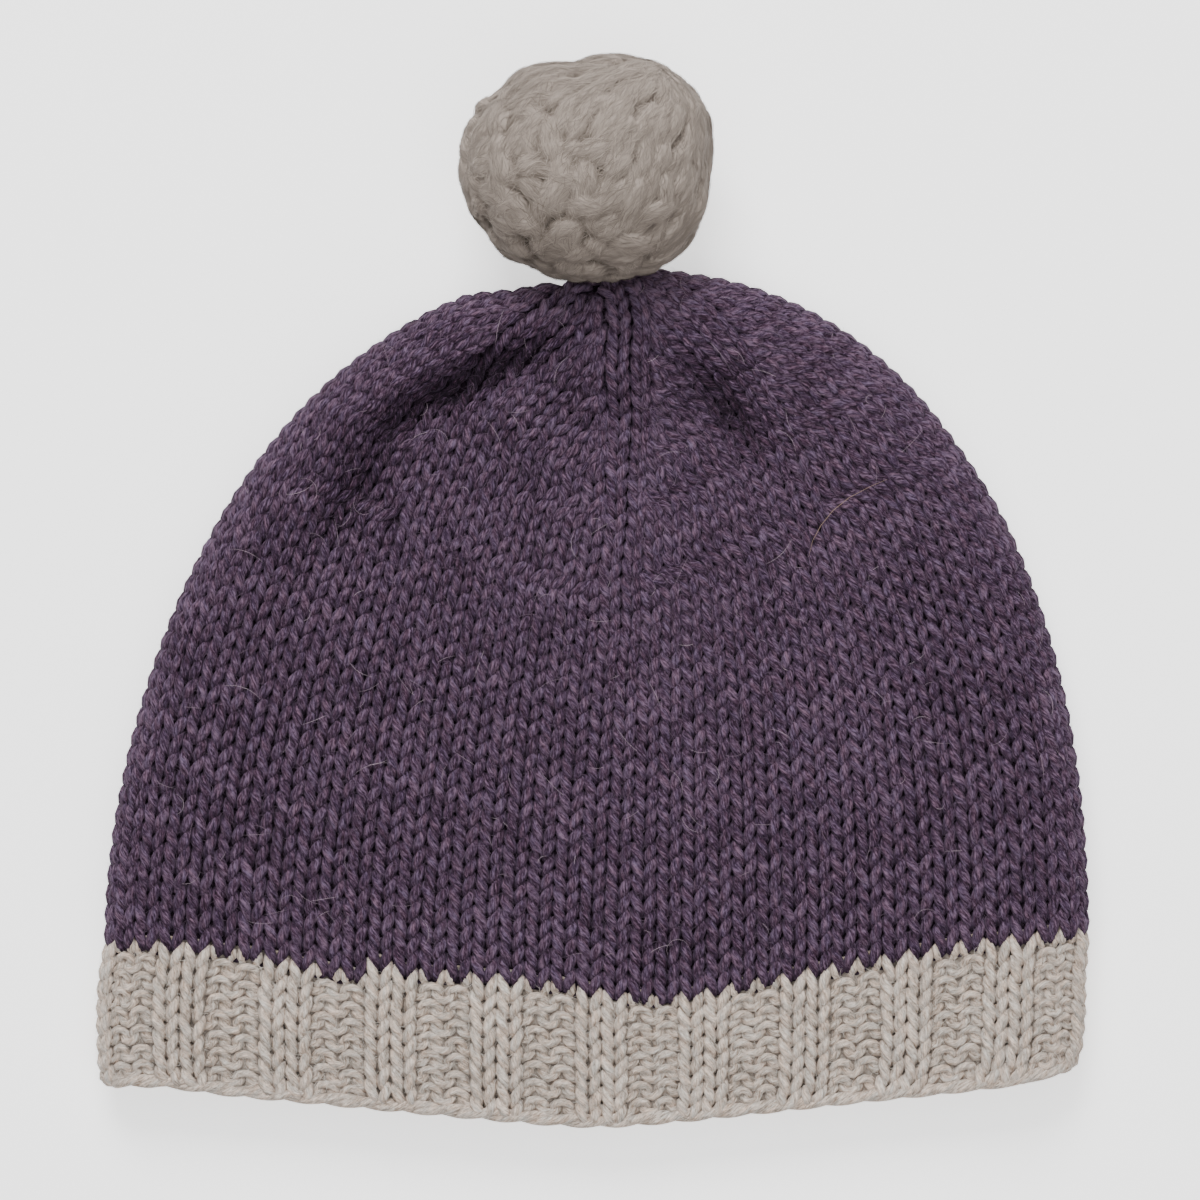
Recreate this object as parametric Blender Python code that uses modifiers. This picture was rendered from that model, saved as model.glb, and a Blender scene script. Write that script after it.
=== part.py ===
"""Knitted beanie with a pompom, lying flat on its back. Metres, +Z up, +Y towards the pompom."""

import math
import random
from collections import namedtuple

import bmesh
import bpy
import numpy as np
from mathutils import Vector

# Driving dimensions of the knitted body, lying flat
HAT_WIDTH = 0.2215
CROWN_LENGTH = 0.1625
BAND_LENGTH = 0.0290
SIDE_BAND_LENGTH = 0.0340
SEAM_SAG = 0.0145
SEAM_TILT = 0.0024
SPINE_OFFSET = 0.003
FOLD_REACH = 0.0105
RIDGE_HEIGHT = 0.0215
MIDDLE_HEIGHT = 0.0158
MIDDLE_REACH = 0.040
TIP_LIFT = 0.0030
TIP_RING = 0.0040
CROWN_WALL = 0.0034
BAND_WALL = 0.0040
PIECE_GAP = 0.0003
TIP_HOLE_DEPTH = 0.0136

# Share of the crown's length that lies between the seam to the band and the origin
SEAM_SHARE = 0.565

# Outline of the crown on each side: the exponents of its rise and of its narrowing, and how far
# its shoulder stands above the dimple at the tip
Side = namedtuple("Side", "sign rise narrowing shoulder")
LEFT = Side(-1, 1.8, 2.25, 0.0004)
RIGHT = Side(1, 2.1, 2.4, 0.0024)
DIMPLE_WIDTH = 0.0090

# Rib of the band, in stitches
RIB_GROUPS = 20
RIB_STITCHES = 4
RIB_KNIT_STITCHES = 2
RIB_RELIEF = 0.0011
RIB_SQUARENESS = 1.4
HEM_ROLL = 0.0009

# Pompom and the cord that ties it on
POMPOM_WIDTH = 0.0570
POMPOM_LENGTH = 0.0515
POMPOM_HEIGHT = 0.0490
POMPOM_OFFSET = -0.0040
LOCK_COUNT = 88
LOCK_LENGTH = 0.0150
LOCK_THICKNESS = 0.0084
TIE_DIAMETER = 0.0024
TIE_SHOWN = 0.0016
TIE_SEAT = 0.0045
TIE_INNER_LENGTH = 0.0058
KNOT_DIAMETER = 0.0042

# Form of the pompom's head and locks, as shares of the head's half sizes and a lock's thickness
CORE_SHARE = 0.84
ROOT_SHARE = 0.72
TRIM_SHARE = 0.97
LOCK_LEAN = 0.45
LOCK_COMB = Vector((0.55, 0.75, 0.35)).normalized()
LOCK_RINGS = ((0.0, 0.55), (0.5, 1.0), (0.88, 0.82))
LOCK_SEED = 7
LEAN_RANGE = (0.7, 1.3)
THICKNESS_RANGE = (0.85, 1.15)
TIP_RANGE = (0.98, 1.0)
KNOT_ANGLES = (90.0, 120.0, 150.0)

# How the rows of the knit run, as shares of the crown's rows and of half a row
ROW_ROUNDING = 0.15
HEM_ROUNDING = 0.08
SEAM_ROWS = 0.35
TIP_ROWS_START = 0.62
TIP_ROWS_SPAN = 0.24
SEAM_MIDDLE_SHARE = 0.6

# How finely the surfaces are cut
CROWN_ROWS = 24
ROW_CROWDING = 1.15
TOP_STEPS = 13
UNDER_STEPS = 9
FOLD_CROWDING = 1.45
FOLD_EXTRA_POINTS = 2
OUTLINE_POINTS = 600
LOCK_SIDES = 5
TIE_SIDES = 10
CUTTER_SIDES = 12
CORE_SEGMENTS = 16
CORE_RINGS = 10

# Heights along the crown from the band to the tip, as shares of the ridge and middle heights
Puff = namedtuple("Puff", "row left_ridge right_ridge middle lift")
CROWN_PUFF = [
    Puff(0.00, 0.80, 0.80, 1.00, 0.0),
    Puff(0.20, 0.84, 0.82, 1.00, 0.0),
    Puff(0.45, 0.91, 0.86, 0.96, 0.0),
    Puff(0.65, 0.99, 0.91, 0.90, 0.0),
    Puff(0.82, 1.00, 0.94, 0.93, 0.0),
    Puff(0.92, 0.96, 0.93, 1.04, 0.5),
    Puff(1.00, 0.90, 0.90, 1.16, 1.0),
]

# Dents of the upper layer: middle and half lengths as shares of half the width and of the
# crown's length, the turn in degrees and the depth as a share of the middle height
Dent = namedtuple("Dent", "across along half_long half_wide turn depth")
CROWN_DENTS = [
    Dent(-0.24, 0.855, 0.20, 0.034, 26.0, 0.24),
    Dent(-0.43, 0.715, 0.17, 0.050, 52.0, 0.17),
    Dent(0.28, 0.815, 0.13, 0.045, -48.0, 0.12),
    Dent(0.03, 0.520, 0.14, 0.026, 10.0, 0.09),
    Dent(0.32, 0.300, 0.12, 0.036, 0.0, 0.06),
    Dent(-0.36, 0.200, 0.14, 0.040, 12.0, 0.05),
]

# Shape of the band from the crown to the hem, as shares of half the width, of the ridge and
# middle heights, of the rib's relief and of the hem's roll
BandRow = namedtuple("BandRow", "down left right ridge middle relief roll")
BAND_ROWS = [
    BandRow(0.00, 1.000, 1.000, 0.80, 1.00, 0.0, 0.0),
    BandRow(0.05, 1.000, 1.000, 0.80, 1.00, 0.0, 0.0),
    BandRow(0.18, 1.004, 1.002, 0.80, 1.00, 0.9, 0.0),
    BandRow(0.50, 1.008, 1.004, 0.79, 0.98, 1.0, 0.0),
    BandRow(0.78, 1.006, 0.998, 0.77, 0.96, 0.9, 0.0),
    BandRow(0.91, 0.998, 0.984, 0.75, 0.94, 0.5, 1.0),
    BandRow(1.00, 0.980, 0.955, 0.73, 0.93, 0.3, 0.7),
]

HALF_WIDTH = HAT_WIDTH / 2.0
SEAM_Y = -CROWN_LENGTH * SEAM_SHARE
TIP_Y = SEAM_Y + CROWN_LENGTH
HEM_Y = SEAM_Y - BAND_LENGTH
SIDE_HEM_Y = SEAM_Y + SEAM_SAG - SIDE_BAND_LENGTH
TIE_RADIUS = TIE_DIAMETER / 2.0
HEAD_HALF = Vector((POMPOM_WIDTH, POMPOM_LENGTH, POMPOM_HEIGHT)) / 2.0


def ease(share):
    """A smooth step from 0 to 1."""
    share = np.clip(share, 0.0, 1.0)
    return share * share * (3.0 - 2.0 * share)


def between(start, end, share):
    """The value at a share of the way from one to another."""
    return start + (end - start) * share


def rounded_slope(share, rounding):
    """A straight rise from 0 to 1 that starts with a rounded foot."""
    rise = np.sqrt(share * share + rounding * rounding) - rounding
    return rise / (math.sqrt(1.0 + rounding * rounding) - rounding)


def read_table(rows, key, column, place):
    """A column of a table, read at a place between its rows."""
    keys = [getattr(row, key) for row in rows]
    values = [getattr(row, column) for row in rows]
    return np.interp(place, keys, values)


def side_seam_y(sign):
    """Where the seam to the band meets the fold on one side."""
    return SEAM_Y + SEAM_SAG + sign * SEAM_TILT / 2.0


def outline(side):
    """One side of the crown's outline from the seam to the tip, as points and arc lengths."""
    turn = np.linspace(0.0, math.pi / 2.0, OUTLINE_POINTS)
    up = np.sin(turn)
    wide = np.power(np.maximum(1.0 - np.power(up, side.rise), 0.0), 1.0 / side.narrowing)
    x = between(SPINE_OFFSET, side.sign * HALF_WIDTH, wide)
    y = between(side_seam_y(side.sign), TIP_Y + side.shoulder, up)
    y = y - side.shoulder * np.exp(-((x - SPINE_OFFSET) / DIMPLE_WIDTH) ** 2)
    steps = np.hypot(np.diff(x), np.diff(y))
    return x, y, np.concatenate([[0.0], np.cumsum(steps)])


OUTLINES = {LEFT.sign: outline(LEFT), RIGHT.sign: outline(RIGHT)}


def along_outline(sign, to_tip):
    """Point and inward direction on one side of the outline, at an arc length from the tip."""
    x, y, lengths = OUTLINES[sign]
    place = np.clip(lengths[-1] - to_tip, 0.0, lengths[-1])
    nudge = lengths[-1] / OUTLINE_POINTS
    ahead = np.minimum(place + nudge, lengths[-1])
    behind = ahead - 2.0 * nudge
    dx = np.interp(ahead, lengths, x) - np.interp(behind, lengths, x)
    dy = np.interp(ahead, lengths, y) - np.interp(behind, lengths, y)
    size = np.hypot(dx, dy)
    point = np.interp(place, lengths, x), np.interp(place, lengths, y)
    return point, (-sign * dy / size, sign * dx / size)


def fold_length(half_height):
    """Arc length of the rounded fold from its outermost line to its top."""
    return math.pi / 2.0 * np.sqrt((FOLD_REACH ** 2 + half_height ** 2) / 2.0)


def over_fold(arc, half_height):
    """Distance in from the outline, and share of the fold's rise, after an arc over the fold."""
    fold = fold_length(half_height)
    turn = math.pi / 2.0 * np.minimum(arc / fold, 1.0)
    inward = FOLD_REACH * (1.0 - np.cos(turn)) + np.maximum(arc - fold, 0.0)
    return inward, np.sin(turn)


def tip_row(across, edge_left, middle_left, half_height):
    """A row near the tip: an arc about the tip, measured over the fold."""
    turn = math.pi / 2.0 * (1.0 - np.abs(across))
    inward, rise = over_fold(middle_left * np.sin(turn), half_height)
    places = []
    for sign in (LEFT.sign, RIGHT.sign):
        point, direction = along_outline(sign, edge_left * np.cos(turn))
        places.append((point[0] + direction[0] * inward, point[1] + direction[1] * inward))
    x = np.where(across < 0.0, places[0][0], places[1][0])
    y = np.where(across < 0.0, places[0][1], places[1][1])
    return x, y, inward, rise


def body_row(across, row, edge_left, middle_left, half_height):
    """A row of the body: from the fold on each side to the middle line, lower in the middle."""
    middle_x = between(SEAM_MIDDLE_SHARE, 1.0, row) * SPINE_OFFSET
    middle_y = TIP_Y - over_fold(middle_left, half_height)[0]
    left = along_outline(LEFT.sign, edge_left)[0]
    right = along_outline(RIGHT.sign, edge_left)[0]
    edge_x = np.where(across < 0.0, left[0], right[0])
    edge_y = np.where(across < 0.0, left[1], right[1])
    span = np.hypot(edge_x - middle_x, edge_y - middle_y)
    arc = (span - FOLD_REACH + fold_length(half_height)) * (1.0 - np.abs(across))
    inward, rise = over_fold(arc, half_height)
    outer = 1.0 - inward / span
    sag = between(ease(outer), rounded_slope(outer, ROW_ROUNDING), ease(row / SEAM_ROWS))
    return between(middle_x, edge_x, outer), between(middle_y, edge_y, sag), inward, rise


def dent_depth(x, y):
    """How far the upper layer is dented at a place."""
    depth = np.zeros_like(x)
    for dent in CROWN_DENTS:
        across = x - dent.across * HALF_WIDTH
        along = y - (SEAM_Y + dent.along * CROWN_LENGTH)
        turn = math.radians(dent.turn)
        long = across * math.cos(turn) + along * math.sin(turn)
        wide = along * math.cos(turn) - across * math.sin(turn)
        spread = (long / (dent.half_long * HALF_WIDTH)) ** 2
        spread = spread + (wide / (dent.half_wide * CROWN_LENGTH)) ** 2
        depth = depth + dent.depth * MIDDLE_HEIGHT * np.exp(-spread)
    return depth


def crown_points(across, row, upper):
    """Points of one layer of the crown's outer surface.

    across runs from -1 at the left fold to 1 at the right fold, and row from 0 at the seam to 1
    at the ring round the tip.
    """
    left_ridge = read_table(CROWN_PUFF, "row", "left_ridge", row)
    right_ridge = read_table(CROWN_PUFF, "row", "right_ridge", row)
    ridge = RIDGE_HEIGHT * between(left_ridge, right_ridge, ease(0.5 + across / 2.0))
    lift = TIP_LIFT * read_table(CROWN_PUFF, "row", "lift", row)
    middle = np.minimum(MIDDLE_HEIGHT * read_table(CROWN_PUFF, "row", "middle", row), ridge)
    half_height = (ridge - lift) / 2.0

    middle_total = CROWN_LENGTH - FOLD_REACH + fold_length(half_height)
    edge_total = np.where(across < 0.0, OUTLINES[LEFT.sign][2][-1], OUTLINES[RIGHT.sign][2][-1])
    middle_left = between(middle_total, TIP_RING, row)
    edge_left = between(edge_total, TIP_RING, row)
    body = body_row(across, row, edge_left, middle_left, half_height)
    tip = tip_row(across, edge_left, middle_left, half_height)
    near_tip = ease((row - TIP_ROWS_START) / TIP_ROWS_SPAN)
    x, y, inward, rise = (between(one, two, near_tip) for one, two in zip(body, tip))

    edge_height = (ridge + lift) / 2.0
    if upper:
        settle = ease((inward - FOLD_REACH) / (MIDDLE_REACH - FOLD_REACH))
        z = between(edge_height, between(ridge, middle, settle), rise)
        z = z - dent_depth(x, y) * ease(inward / (2.0 * FOLD_REACH))
    else:
        z = between(edge_height, lift, rise)
    return [Vector(point) for point in zip(x, y, z)]


def rib_wave(across):
    """1 on the knit stitches of the rib and -1 between them, across the front or the back."""
    stitch = (across + 1.0) * RIB_GROUPS * RIB_STITCHES / 4.0
    knit_middle = (RIB_KNIT_STITCHES - 1) / 2.0
    phase = 2.0 * math.pi * (stitch - knit_middle) / RIB_STITCHES
    return np.clip(RIB_SQUARENESS * np.cos(phase), -1.0, 1.0)


def band_points(across, band_row, upper):
    """Points of one layer of the band's outer surface, at one row of its table."""
    down = band_row.down
    ridge = RIDGE_HEIGHT * band_row.ridge
    middle = MIDDLE_HEIGHT * band_row.middle
    half_height = ridge / 2.0
    wave = rib_wave(across if upper else -across)
    proud = RIB_RELIEF / 2.0 * band_row.relief * wave + HEM_ROLL * band_row.roll

    middle_x = SEAM_MIDDLE_SHARE * SPINE_OFFSET
    edge_x = HALF_WIDTH * np.where(across < 0.0, -band_row.left, band_row.right)
    span = np.abs(edge_x - middle_x)
    arc = (span - FOLD_REACH + fold_length(half_height)) * (1.0 - np.abs(across))
    inward, rise = over_fold(arc, half_height)
    outer = 1.0 - inward / span
    middle_y = between(SEAM_Y - PIECE_GAP, HEM_Y, down)
    edge_y = between(side_seam_y(np.sign(edge_x)) - PIECE_GAP, SIDE_HEM_Y, down)
    sag = between(ease(outer), rounded_slope(outer, HEM_ROUNDING), down)
    x = between(middle_x, edge_x, outer) + np.sign(edge_x) * proud * (1.0 - rise)
    y = between(middle_y, edge_y, sag)
    if upper:
        settle = ease((inward - FOLD_REACH) / (MIDDLE_REACH - FOLD_REACH))
        z = between(half_height, between(ridge, middle, settle) + proud, rise)
    else:
        z = np.maximum(between(half_height, np.maximum(-proud, 0.0), rise), 0.0)
    return [Vector(point) for point in zip(x, y, z)]


def clear_scene():
    """Remove what a new Blender file holds."""
    for item in list(bpy.data.objects):
        bpy.data.objects.remove(item, do_unlink=True)


def make_material(name, colour, roughness):
    """A plain woollen finish."""
    material = bpy.data.materials.new(name)
    material.use_nodes = True
    shader = material.node_tree.nodes["Principled BSDF"]
    shader.inputs["Base Color"].default_value = (*colour, 1.0)
    shader.inputs["Roughness"].default_value = roughness
    shader.inputs["Metallic"].default_value = 0.0
    return material


def add_object(name, shape, collection, material=None):
    """Make an object of a bmesh, and put it in a collection."""
    mesh = bpy.data.meshes.new(name)
    shape.to_mesh(mesh)
    shape.free()
    piece = bpy.data.objects.new(name, mesh)
    collection.objects.link(piece)
    if material is not None:
        mesh.materials.append(material)
    return piece


def hide_cutter(cutter):
    """Leave a cutter out of renders and show it as wire."""
    cutter.hide_render = True
    cutter.display_type = "WIRE"


def join_rings(shape, loops):
    """Faces between neighbouring rings of vertices."""
    for low, high in zip(loops, loops[1:]):
        count = len(low)
        for index in range(count):
            after = (index + 1) % count
            shape.faces.new((low[index], low[after], high[after], high[index]))


def close_ring(shape, loop, point):
    """Faces from a ring of vertices to one point."""
    end = shape.verts.new(point)
    for index in range(len(loop)):
        shape.faces.new((loop[index], loop[(index + 1) % len(loop)], end))


def thicken(piece, wall):
    """Give a sheet its wall, laid inside it."""
    solid = piece.modifiers.new("Wall", "SOLIDIFY")
    solid.thickness = wall
    solid.offset = -1.0
    solid.use_even_offset = True
    solid.use_quality_normals = True


def combine(piece, operation, guide):
    """Cut a piece with another body, or join the two."""
    step = piece.modifiers.new(guide.name, "BOOLEAN")
    step.operation = operation
    step.solver = "EXACT"
    step.object = guide
    return step


def crossing(steps, crowding):
    """Places across one layer, from its first fold to just before its second."""
    half = (np.arange(steps) / steps) ** crowding
    return np.concatenate([half - 1.0, [0.0], (1.0 - half)[:0:-1]])


def make_crown(collection, cutters, material):
    """The knitted body: a flattened dome, open at the band and round the tie at the tip."""
    shape = bmesh.new()
    loops = []
    for index in range(CROWN_ROWS + 1):
        row = 1.0 - (1.0 - index / CROWN_ROWS) ** ROW_CROWDING
        crowding = between(FOLD_CROWDING, 1.0, float(ease(2.0 * row - 1.0)))
        ring = crown_points(crossing(TOP_STEPS, crowding), row, True)
        ring += crown_points(-crossing(UNDER_STEPS, crowding), row, False)
        loops.append([shape.verts.new(point) for point in ring])
    join_rings(shape, loops)
    tip = Vector((SPINE_OFFSET, TIP_Y, tie_height()))
    close_ring(shape, loops[-1], tip)
    piece = add_object("crown", shape, collection, material)
    piece.data.shade_smooth()
    thicken(piece, CROWN_WALL)
    hole = tie_cutter("tip_hole", cutters, TIP_HOLE_DEPTH)
    hole.location = tip
    combine(piece, "DIFFERENCE", hole)


def make_band(collection, material):
    """The ribbed band, open at both ends, with its rolled edge at the hem."""
    half = RIB_GROUPS * RIB_STITCHES // 2
    step = 2.0 / half
    extra = -1.0 + step * (0.5 + np.arange(FOLD_EXTRA_POINTS))
    across = np.sort(np.concatenate([-1.0 + step * np.arange(half), extra, -extra]))
    shape = bmesh.new()
    loops = []
    for band_row in reversed(BAND_ROWS):
        ring = band_points(across, band_row, True) + band_points(-across, band_row, False)
        loops.append([shape.verts.new(point) for point in ring])
    join_rings(shape, loops)
    piece = add_object("rib_band", shape, collection, material)
    piece.data.shade_smooth()
    thicken(piece, BAND_WALL)


def tie_cutter(name, cutters, length):
    """A round cutter along Y that leaves the tie its clearance."""
    shape = bmesh.new()
    radius = TIE_RADIUS + PIECE_GAP
    bmesh.ops.create_cone(
        shape, cap_ends=True, segments=CUTTER_SIDES, radius1=radius, radius2=radius, depth=length)
    cutter = add_object(name, shape, cutters)
    cutter.rotation_euler = (math.pi / 2.0, 0.0, 0.0)
    hide_cutter(cutter)
    return cutter


def tip_fold():
    """Lowest and highest level of the crown's fold at its tip."""
    tip = CROWN_PUFF[-1]
    return TIP_LIFT * tip.lift, RIDGE_HEIGHT * tip.left_ridge


def tie_height():
    """Height of the tie, at the middle of the crown's fold at its tip."""
    return sum(tip_fold()) / 2.0


def pompom_centre():
    """Middle of the pompom, which lies on the surface just clear of the crown's tip."""
    low, high = tip_fold()
    turn = np.linspace(0.0, math.pi / 2.0, OUTLINE_POINTS)
    fold_y = TIP_Y - FOLD_REACH * (1.0 - np.cos(turn))
    fold_z = between(low, high, 0.5 + 0.5 * np.sin(turn))
    level = np.clip(fold_z / HEAD_HALF.z - 1.0, -1.0, 1.0)
    clear_y = float(np.max(fold_y + HEAD_HALF.y * np.sqrt(1.0 - level ** 2)))
    return Vector((SPINE_OFFSET + POMPOM_OFFSET, clear_y + TIE_SHOWN, HEAD_HALF.z))


def tie_end():
    """How far the tie reaches, into its seat in the pompom's core."""
    centre = pompom_centre()
    high = (tie_height() - centre.z) / HEAD_HALF.z
    wide = (SPINE_OFFSET - centre.x) / HEAD_HALF.x
    core = math.sqrt(max(CORE_SHARE ** 2 - high ** 2 - wide ** 2, 0.0))
    return centre.y - core * HEAD_HALF.y + TIE_SEAT


def on_head(unit, reach):
    """A point in a direction from the middle of the head, at a share of its outer form."""
    offset = Vector((unit.x * HEAD_HALF.x, unit.y * HEAD_HALF.y, unit.z * HEAD_HALF.z))
    return pompom_centre() + offset * reach


def head_share(point):
    """A point as shares of the head's half sizes from its middle."""
    offset = point - pompom_centre()
    return Vector((offset.x / HEAD_HALF.x, offset.y / HEAD_HALF.y, offset.z / HEAD_HALF.z))


def add_lock(shape, root, tip, thickness, spin):
    """A soft lock: a spindle from its root inside the head to its blunt tip."""
    turn = (tip - root).to_track_quat("Z", "Y")
    length = (tip - root).length
    loops = []
    for share, width in LOCK_RINGS:
        radius = thickness / 2.0 * width
        loop = []
        for index in range(LOCK_SIDES):
            angle = spin + 2.0 * math.pi * index / LOCK_SIDES
            offset = Vector((math.cos(angle) * radius, math.sin(angle) * radius, share * length))
            point = root + turn @ offset
            unit = head_share(point)
            if unit.length > 1.0:
                point = on_head(unit.normalized(), TRIM_SHARE)
            loop.append(shape.verts.new(point))
        loops.append(loop)
    join_rings(shape, loops)
    close_ring(shape, loops[-1], tip)
    shape.faces.new(list(reversed(loops[0])))


def make_locks(cutters):
    """All the locks of the pompom, spread evenly and combed one way."""
    draw = random.Random(LOCK_SEED)
    golden_turn = math.pi * (3.0 - math.sqrt(5.0))
    shape = bmesh.new()
    for index in range(LOCK_COUNT):
        level = 1.0 - 2.0 * (index + 0.5) / LOCK_COUNT
        flat = math.sqrt(1.0 - level * level)
        around = golden_turn * index
        outward = Vector((math.cos(around) * flat, math.sin(around) * flat, level))
        swept = (LOCK_COMB - outward * LOCK_COMB.dot(outward)) * draw.uniform(*LEAN_RANGE)
        swept = swept * LOCK_LEAN * LOCK_LENGTH / HEAD_HALF.y
        tip = on_head((outward + swept).normalized(), draw.uniform(*TIP_RANGE))
        root = on_head((outward - swept).normalized(), ROOT_SHARE)
        root = tip + (root - tip).normalized() * LOCK_LENGTH
        thickness = LOCK_THICKNESS * draw.uniform(*THICKNESS_RANGE)
        add_lock(shape, root, tip, thickness, draw.uniform(0.0, 2.0 * math.pi / LOCK_SIDES))
    bmesh.ops.recalc_face_normals(shape, faces=shape.faces)
    locks = add_object("pompom_locks", shape, cutters)
    hide_cutter(locks)
    return locks


def make_pompom(collection, cutters, material):
    """A round head with its locks fused to it, and a socket for the tie."""
    shape = bmesh.new()
    bmesh.ops.create_uvsphere(
        shape, u_segments=CORE_SEGMENTS, v_segments=CORE_RINGS, radius=CORE_SHARE)
    for vert in shape.verts:
        vert.co = on_head(vert.co, 1.0)
    piece = add_object("pompom", shape, collection, material)
    fuse = combine(piece, "UNION", make_locks(cutters))
    fuse.use_self = True
    socket = tie_cutter("tie_socket", cutters, POMPOM_LENGTH)
    socket_end = tie_end() + PIECE_GAP
    socket.location = (SPINE_OFFSET, socket_end - POMPOM_LENGTH / 2.0, tie_height())
    combine(piece, "DIFFERENCE", socket)


def make_tie(collection, material):
    """The cord from the knot inside the crown's tip to the pompom's core."""
    knot_radius = KNOT_DIAMETER / 2.0
    start = TIP_Y - CROWN_WALL - TIE_INNER_LENGTH
    end = tie_end()
    profile = [(0.0, end), (TIE_RADIUS, end), (TIE_RADIUS, start + KNOT_DIAMETER)]
    for degrees in KNOT_ANGLES:
        angle = math.radians(degrees)
        along = start + knot_radius * (1.0 + math.cos(angle))
        profile.append((knot_radius * math.sin(angle), along))
    profile.append((0.0, start))
    shape = bmesh.new()
    verts = [shape.verts.new((radius, 0.0, along)) for radius, along in profile]
    for low, high in zip(verts, verts[1:]):
        shape.edges.new((low, high))
    piece = add_object("pompom_tie", shape, collection, material)
    turned = piece.modifiers.new("Turn", "SCREW")
    turned.axis = "Z"
    turned.steps = TIE_SIDES
    turned.render_steps = TIE_SIDES
    turned.use_merge_vertices = True
    turned.merge_threshold = 0.00001
    piece.location = (SPINE_OFFSET, 0.0, tie_height())
    piece.rotation_euler = (-math.pi / 2.0, 0.0, 0.0)


def main():
    """Build the beanie."""
    clear_scene()
    beanie = bpy.data.collections.new("beanie")
    cutters = bpy.data.collections.new("cutters")
    bpy.context.scene.collection.children.link(beanie)
    bpy.context.scene.collection.children.link(cutters)
    make_crown(beanie, cutters, make_material("purple_wool", (0.088, 0.061, 0.088), 0.9))
    make_band(beanie, make_material("grey_wool", (0.42, 0.37, 0.33), 0.9))
    make_pompom(beanie, cutters, make_material("pompom_wool", (0.37, 0.33, 0.30), 0.95))
    make_tie(beanie, make_material("tie_wool", (0.37, 0.33, 0.30), 0.9))


main()
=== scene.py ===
"""Looks of the knitted beanie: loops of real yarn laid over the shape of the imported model."""

import math
from collections import namedtuple

import bmesh
import bpy
import numpy as np
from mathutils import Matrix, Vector


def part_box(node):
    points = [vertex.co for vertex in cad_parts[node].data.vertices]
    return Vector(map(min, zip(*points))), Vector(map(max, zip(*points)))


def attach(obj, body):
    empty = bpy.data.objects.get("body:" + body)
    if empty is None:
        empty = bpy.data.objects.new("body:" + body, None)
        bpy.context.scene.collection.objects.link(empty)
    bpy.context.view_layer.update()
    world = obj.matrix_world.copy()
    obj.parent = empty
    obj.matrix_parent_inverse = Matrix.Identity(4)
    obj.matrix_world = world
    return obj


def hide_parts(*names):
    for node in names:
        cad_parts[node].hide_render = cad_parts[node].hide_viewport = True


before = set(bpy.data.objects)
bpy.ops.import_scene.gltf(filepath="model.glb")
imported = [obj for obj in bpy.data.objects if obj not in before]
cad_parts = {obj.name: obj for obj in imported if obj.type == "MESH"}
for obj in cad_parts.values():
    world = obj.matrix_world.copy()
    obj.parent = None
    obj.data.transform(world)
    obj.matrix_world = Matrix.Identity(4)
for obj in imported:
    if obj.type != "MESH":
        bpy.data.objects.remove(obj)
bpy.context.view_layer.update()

# Form of the hat in metres, as in the part's source. Only the ring at the tip is narrower here
HAT_WIDTH = 0.2215
CROWN_LENGTH = 0.1625
BAND_LENGTH = 0.0290
SIDE_BAND_LENGTH = 0.0340
SEAM_SHARE = 0.565
SEAM_SAG = 0.0145
SEAM_TILT = 0.0024
SPINE_OFFSET = 0.003
FOLD_REACH = 0.0105
RIDGE_HEIGHT = 0.0215
MIDDLE_HEIGHT = 0.0158
MIDDLE_REACH = 0.040
TIP_LIFT = 0.0030
TIP_RING = 0.0015
DIMPLE_WIDTH = 0.0090
ROW_ROUNDING = 0.15
HEM_ROUNDING = 0.08
SEAM_ROWS = 0.35
TIP_ROWS_START = 0.62
TIP_ROWS_SPAN = 0.24
SEAM_MIDDLE_SHARE = 0.6
OUTLINE_POINTS = 600

# Outline on each side: exponents of its rise and narrowing, and the shoulder's height
Side = namedtuple("Side", "sign rise narrowing shoulder")
LEFT = Side(-1, 1.8, 2.25, 0.0004)
RIGHT = Side(1, 2.1, 2.4, 0.0024)

# Each row from band to tip, and its heights as shares: left ridge, right ridge, middle, lift
CROWN_PUFF = [
    (0.00, 0.80, 0.80, 1.00, 0.0),
    (0.20, 0.84, 0.82, 1.00, 0.0),
    (0.45, 0.91, 0.86, 0.96, 0.0),
    (0.65, 0.99, 0.91, 0.90, 0.0),
    (0.82, 1.00, 0.94, 0.93, 0.0),
    (0.92, 0.96, 0.93, 1.04, 0.5),
    (1.00, 0.90, 0.90, 1.16, 1.0),
]
# Dents of the upper layer, placed and sized as shares of the half width and of the crown's length
Dent = namedtuple("Dent", "across along half_long half_wide turn depth")
CROWN_DENTS = [
    Dent(-0.24, 0.855, 0.20, 0.034, 26.0, 0.24),
    Dent(-0.43, 0.715, 0.17, 0.050, 52.0, 0.17),
    Dent(0.28, 0.815, 0.13, 0.045, -48.0, 0.12),
    Dent(0.03, 0.520, 0.14, 0.026, 10.0, 0.09),
    Dent(0.32, 0.300, 0.12, 0.036, 0.0, 0.06),
    Dent(-0.36, 0.200, 0.14, 0.040, 12.0, 0.05),
]
# Narrow creases at the bottom of the upper dents, finer than the solid
CREASES = [
    Dent(-0.26, 0.852, 0.19, 0.025, 27.0, 0.12),
    Dent(-0.48, 0.715, 0.14, 0.026, 55.0, 0.06),
    Dent(0.27, 0.820, 0.12, 0.028, -48.0, 0.08),
]
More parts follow.
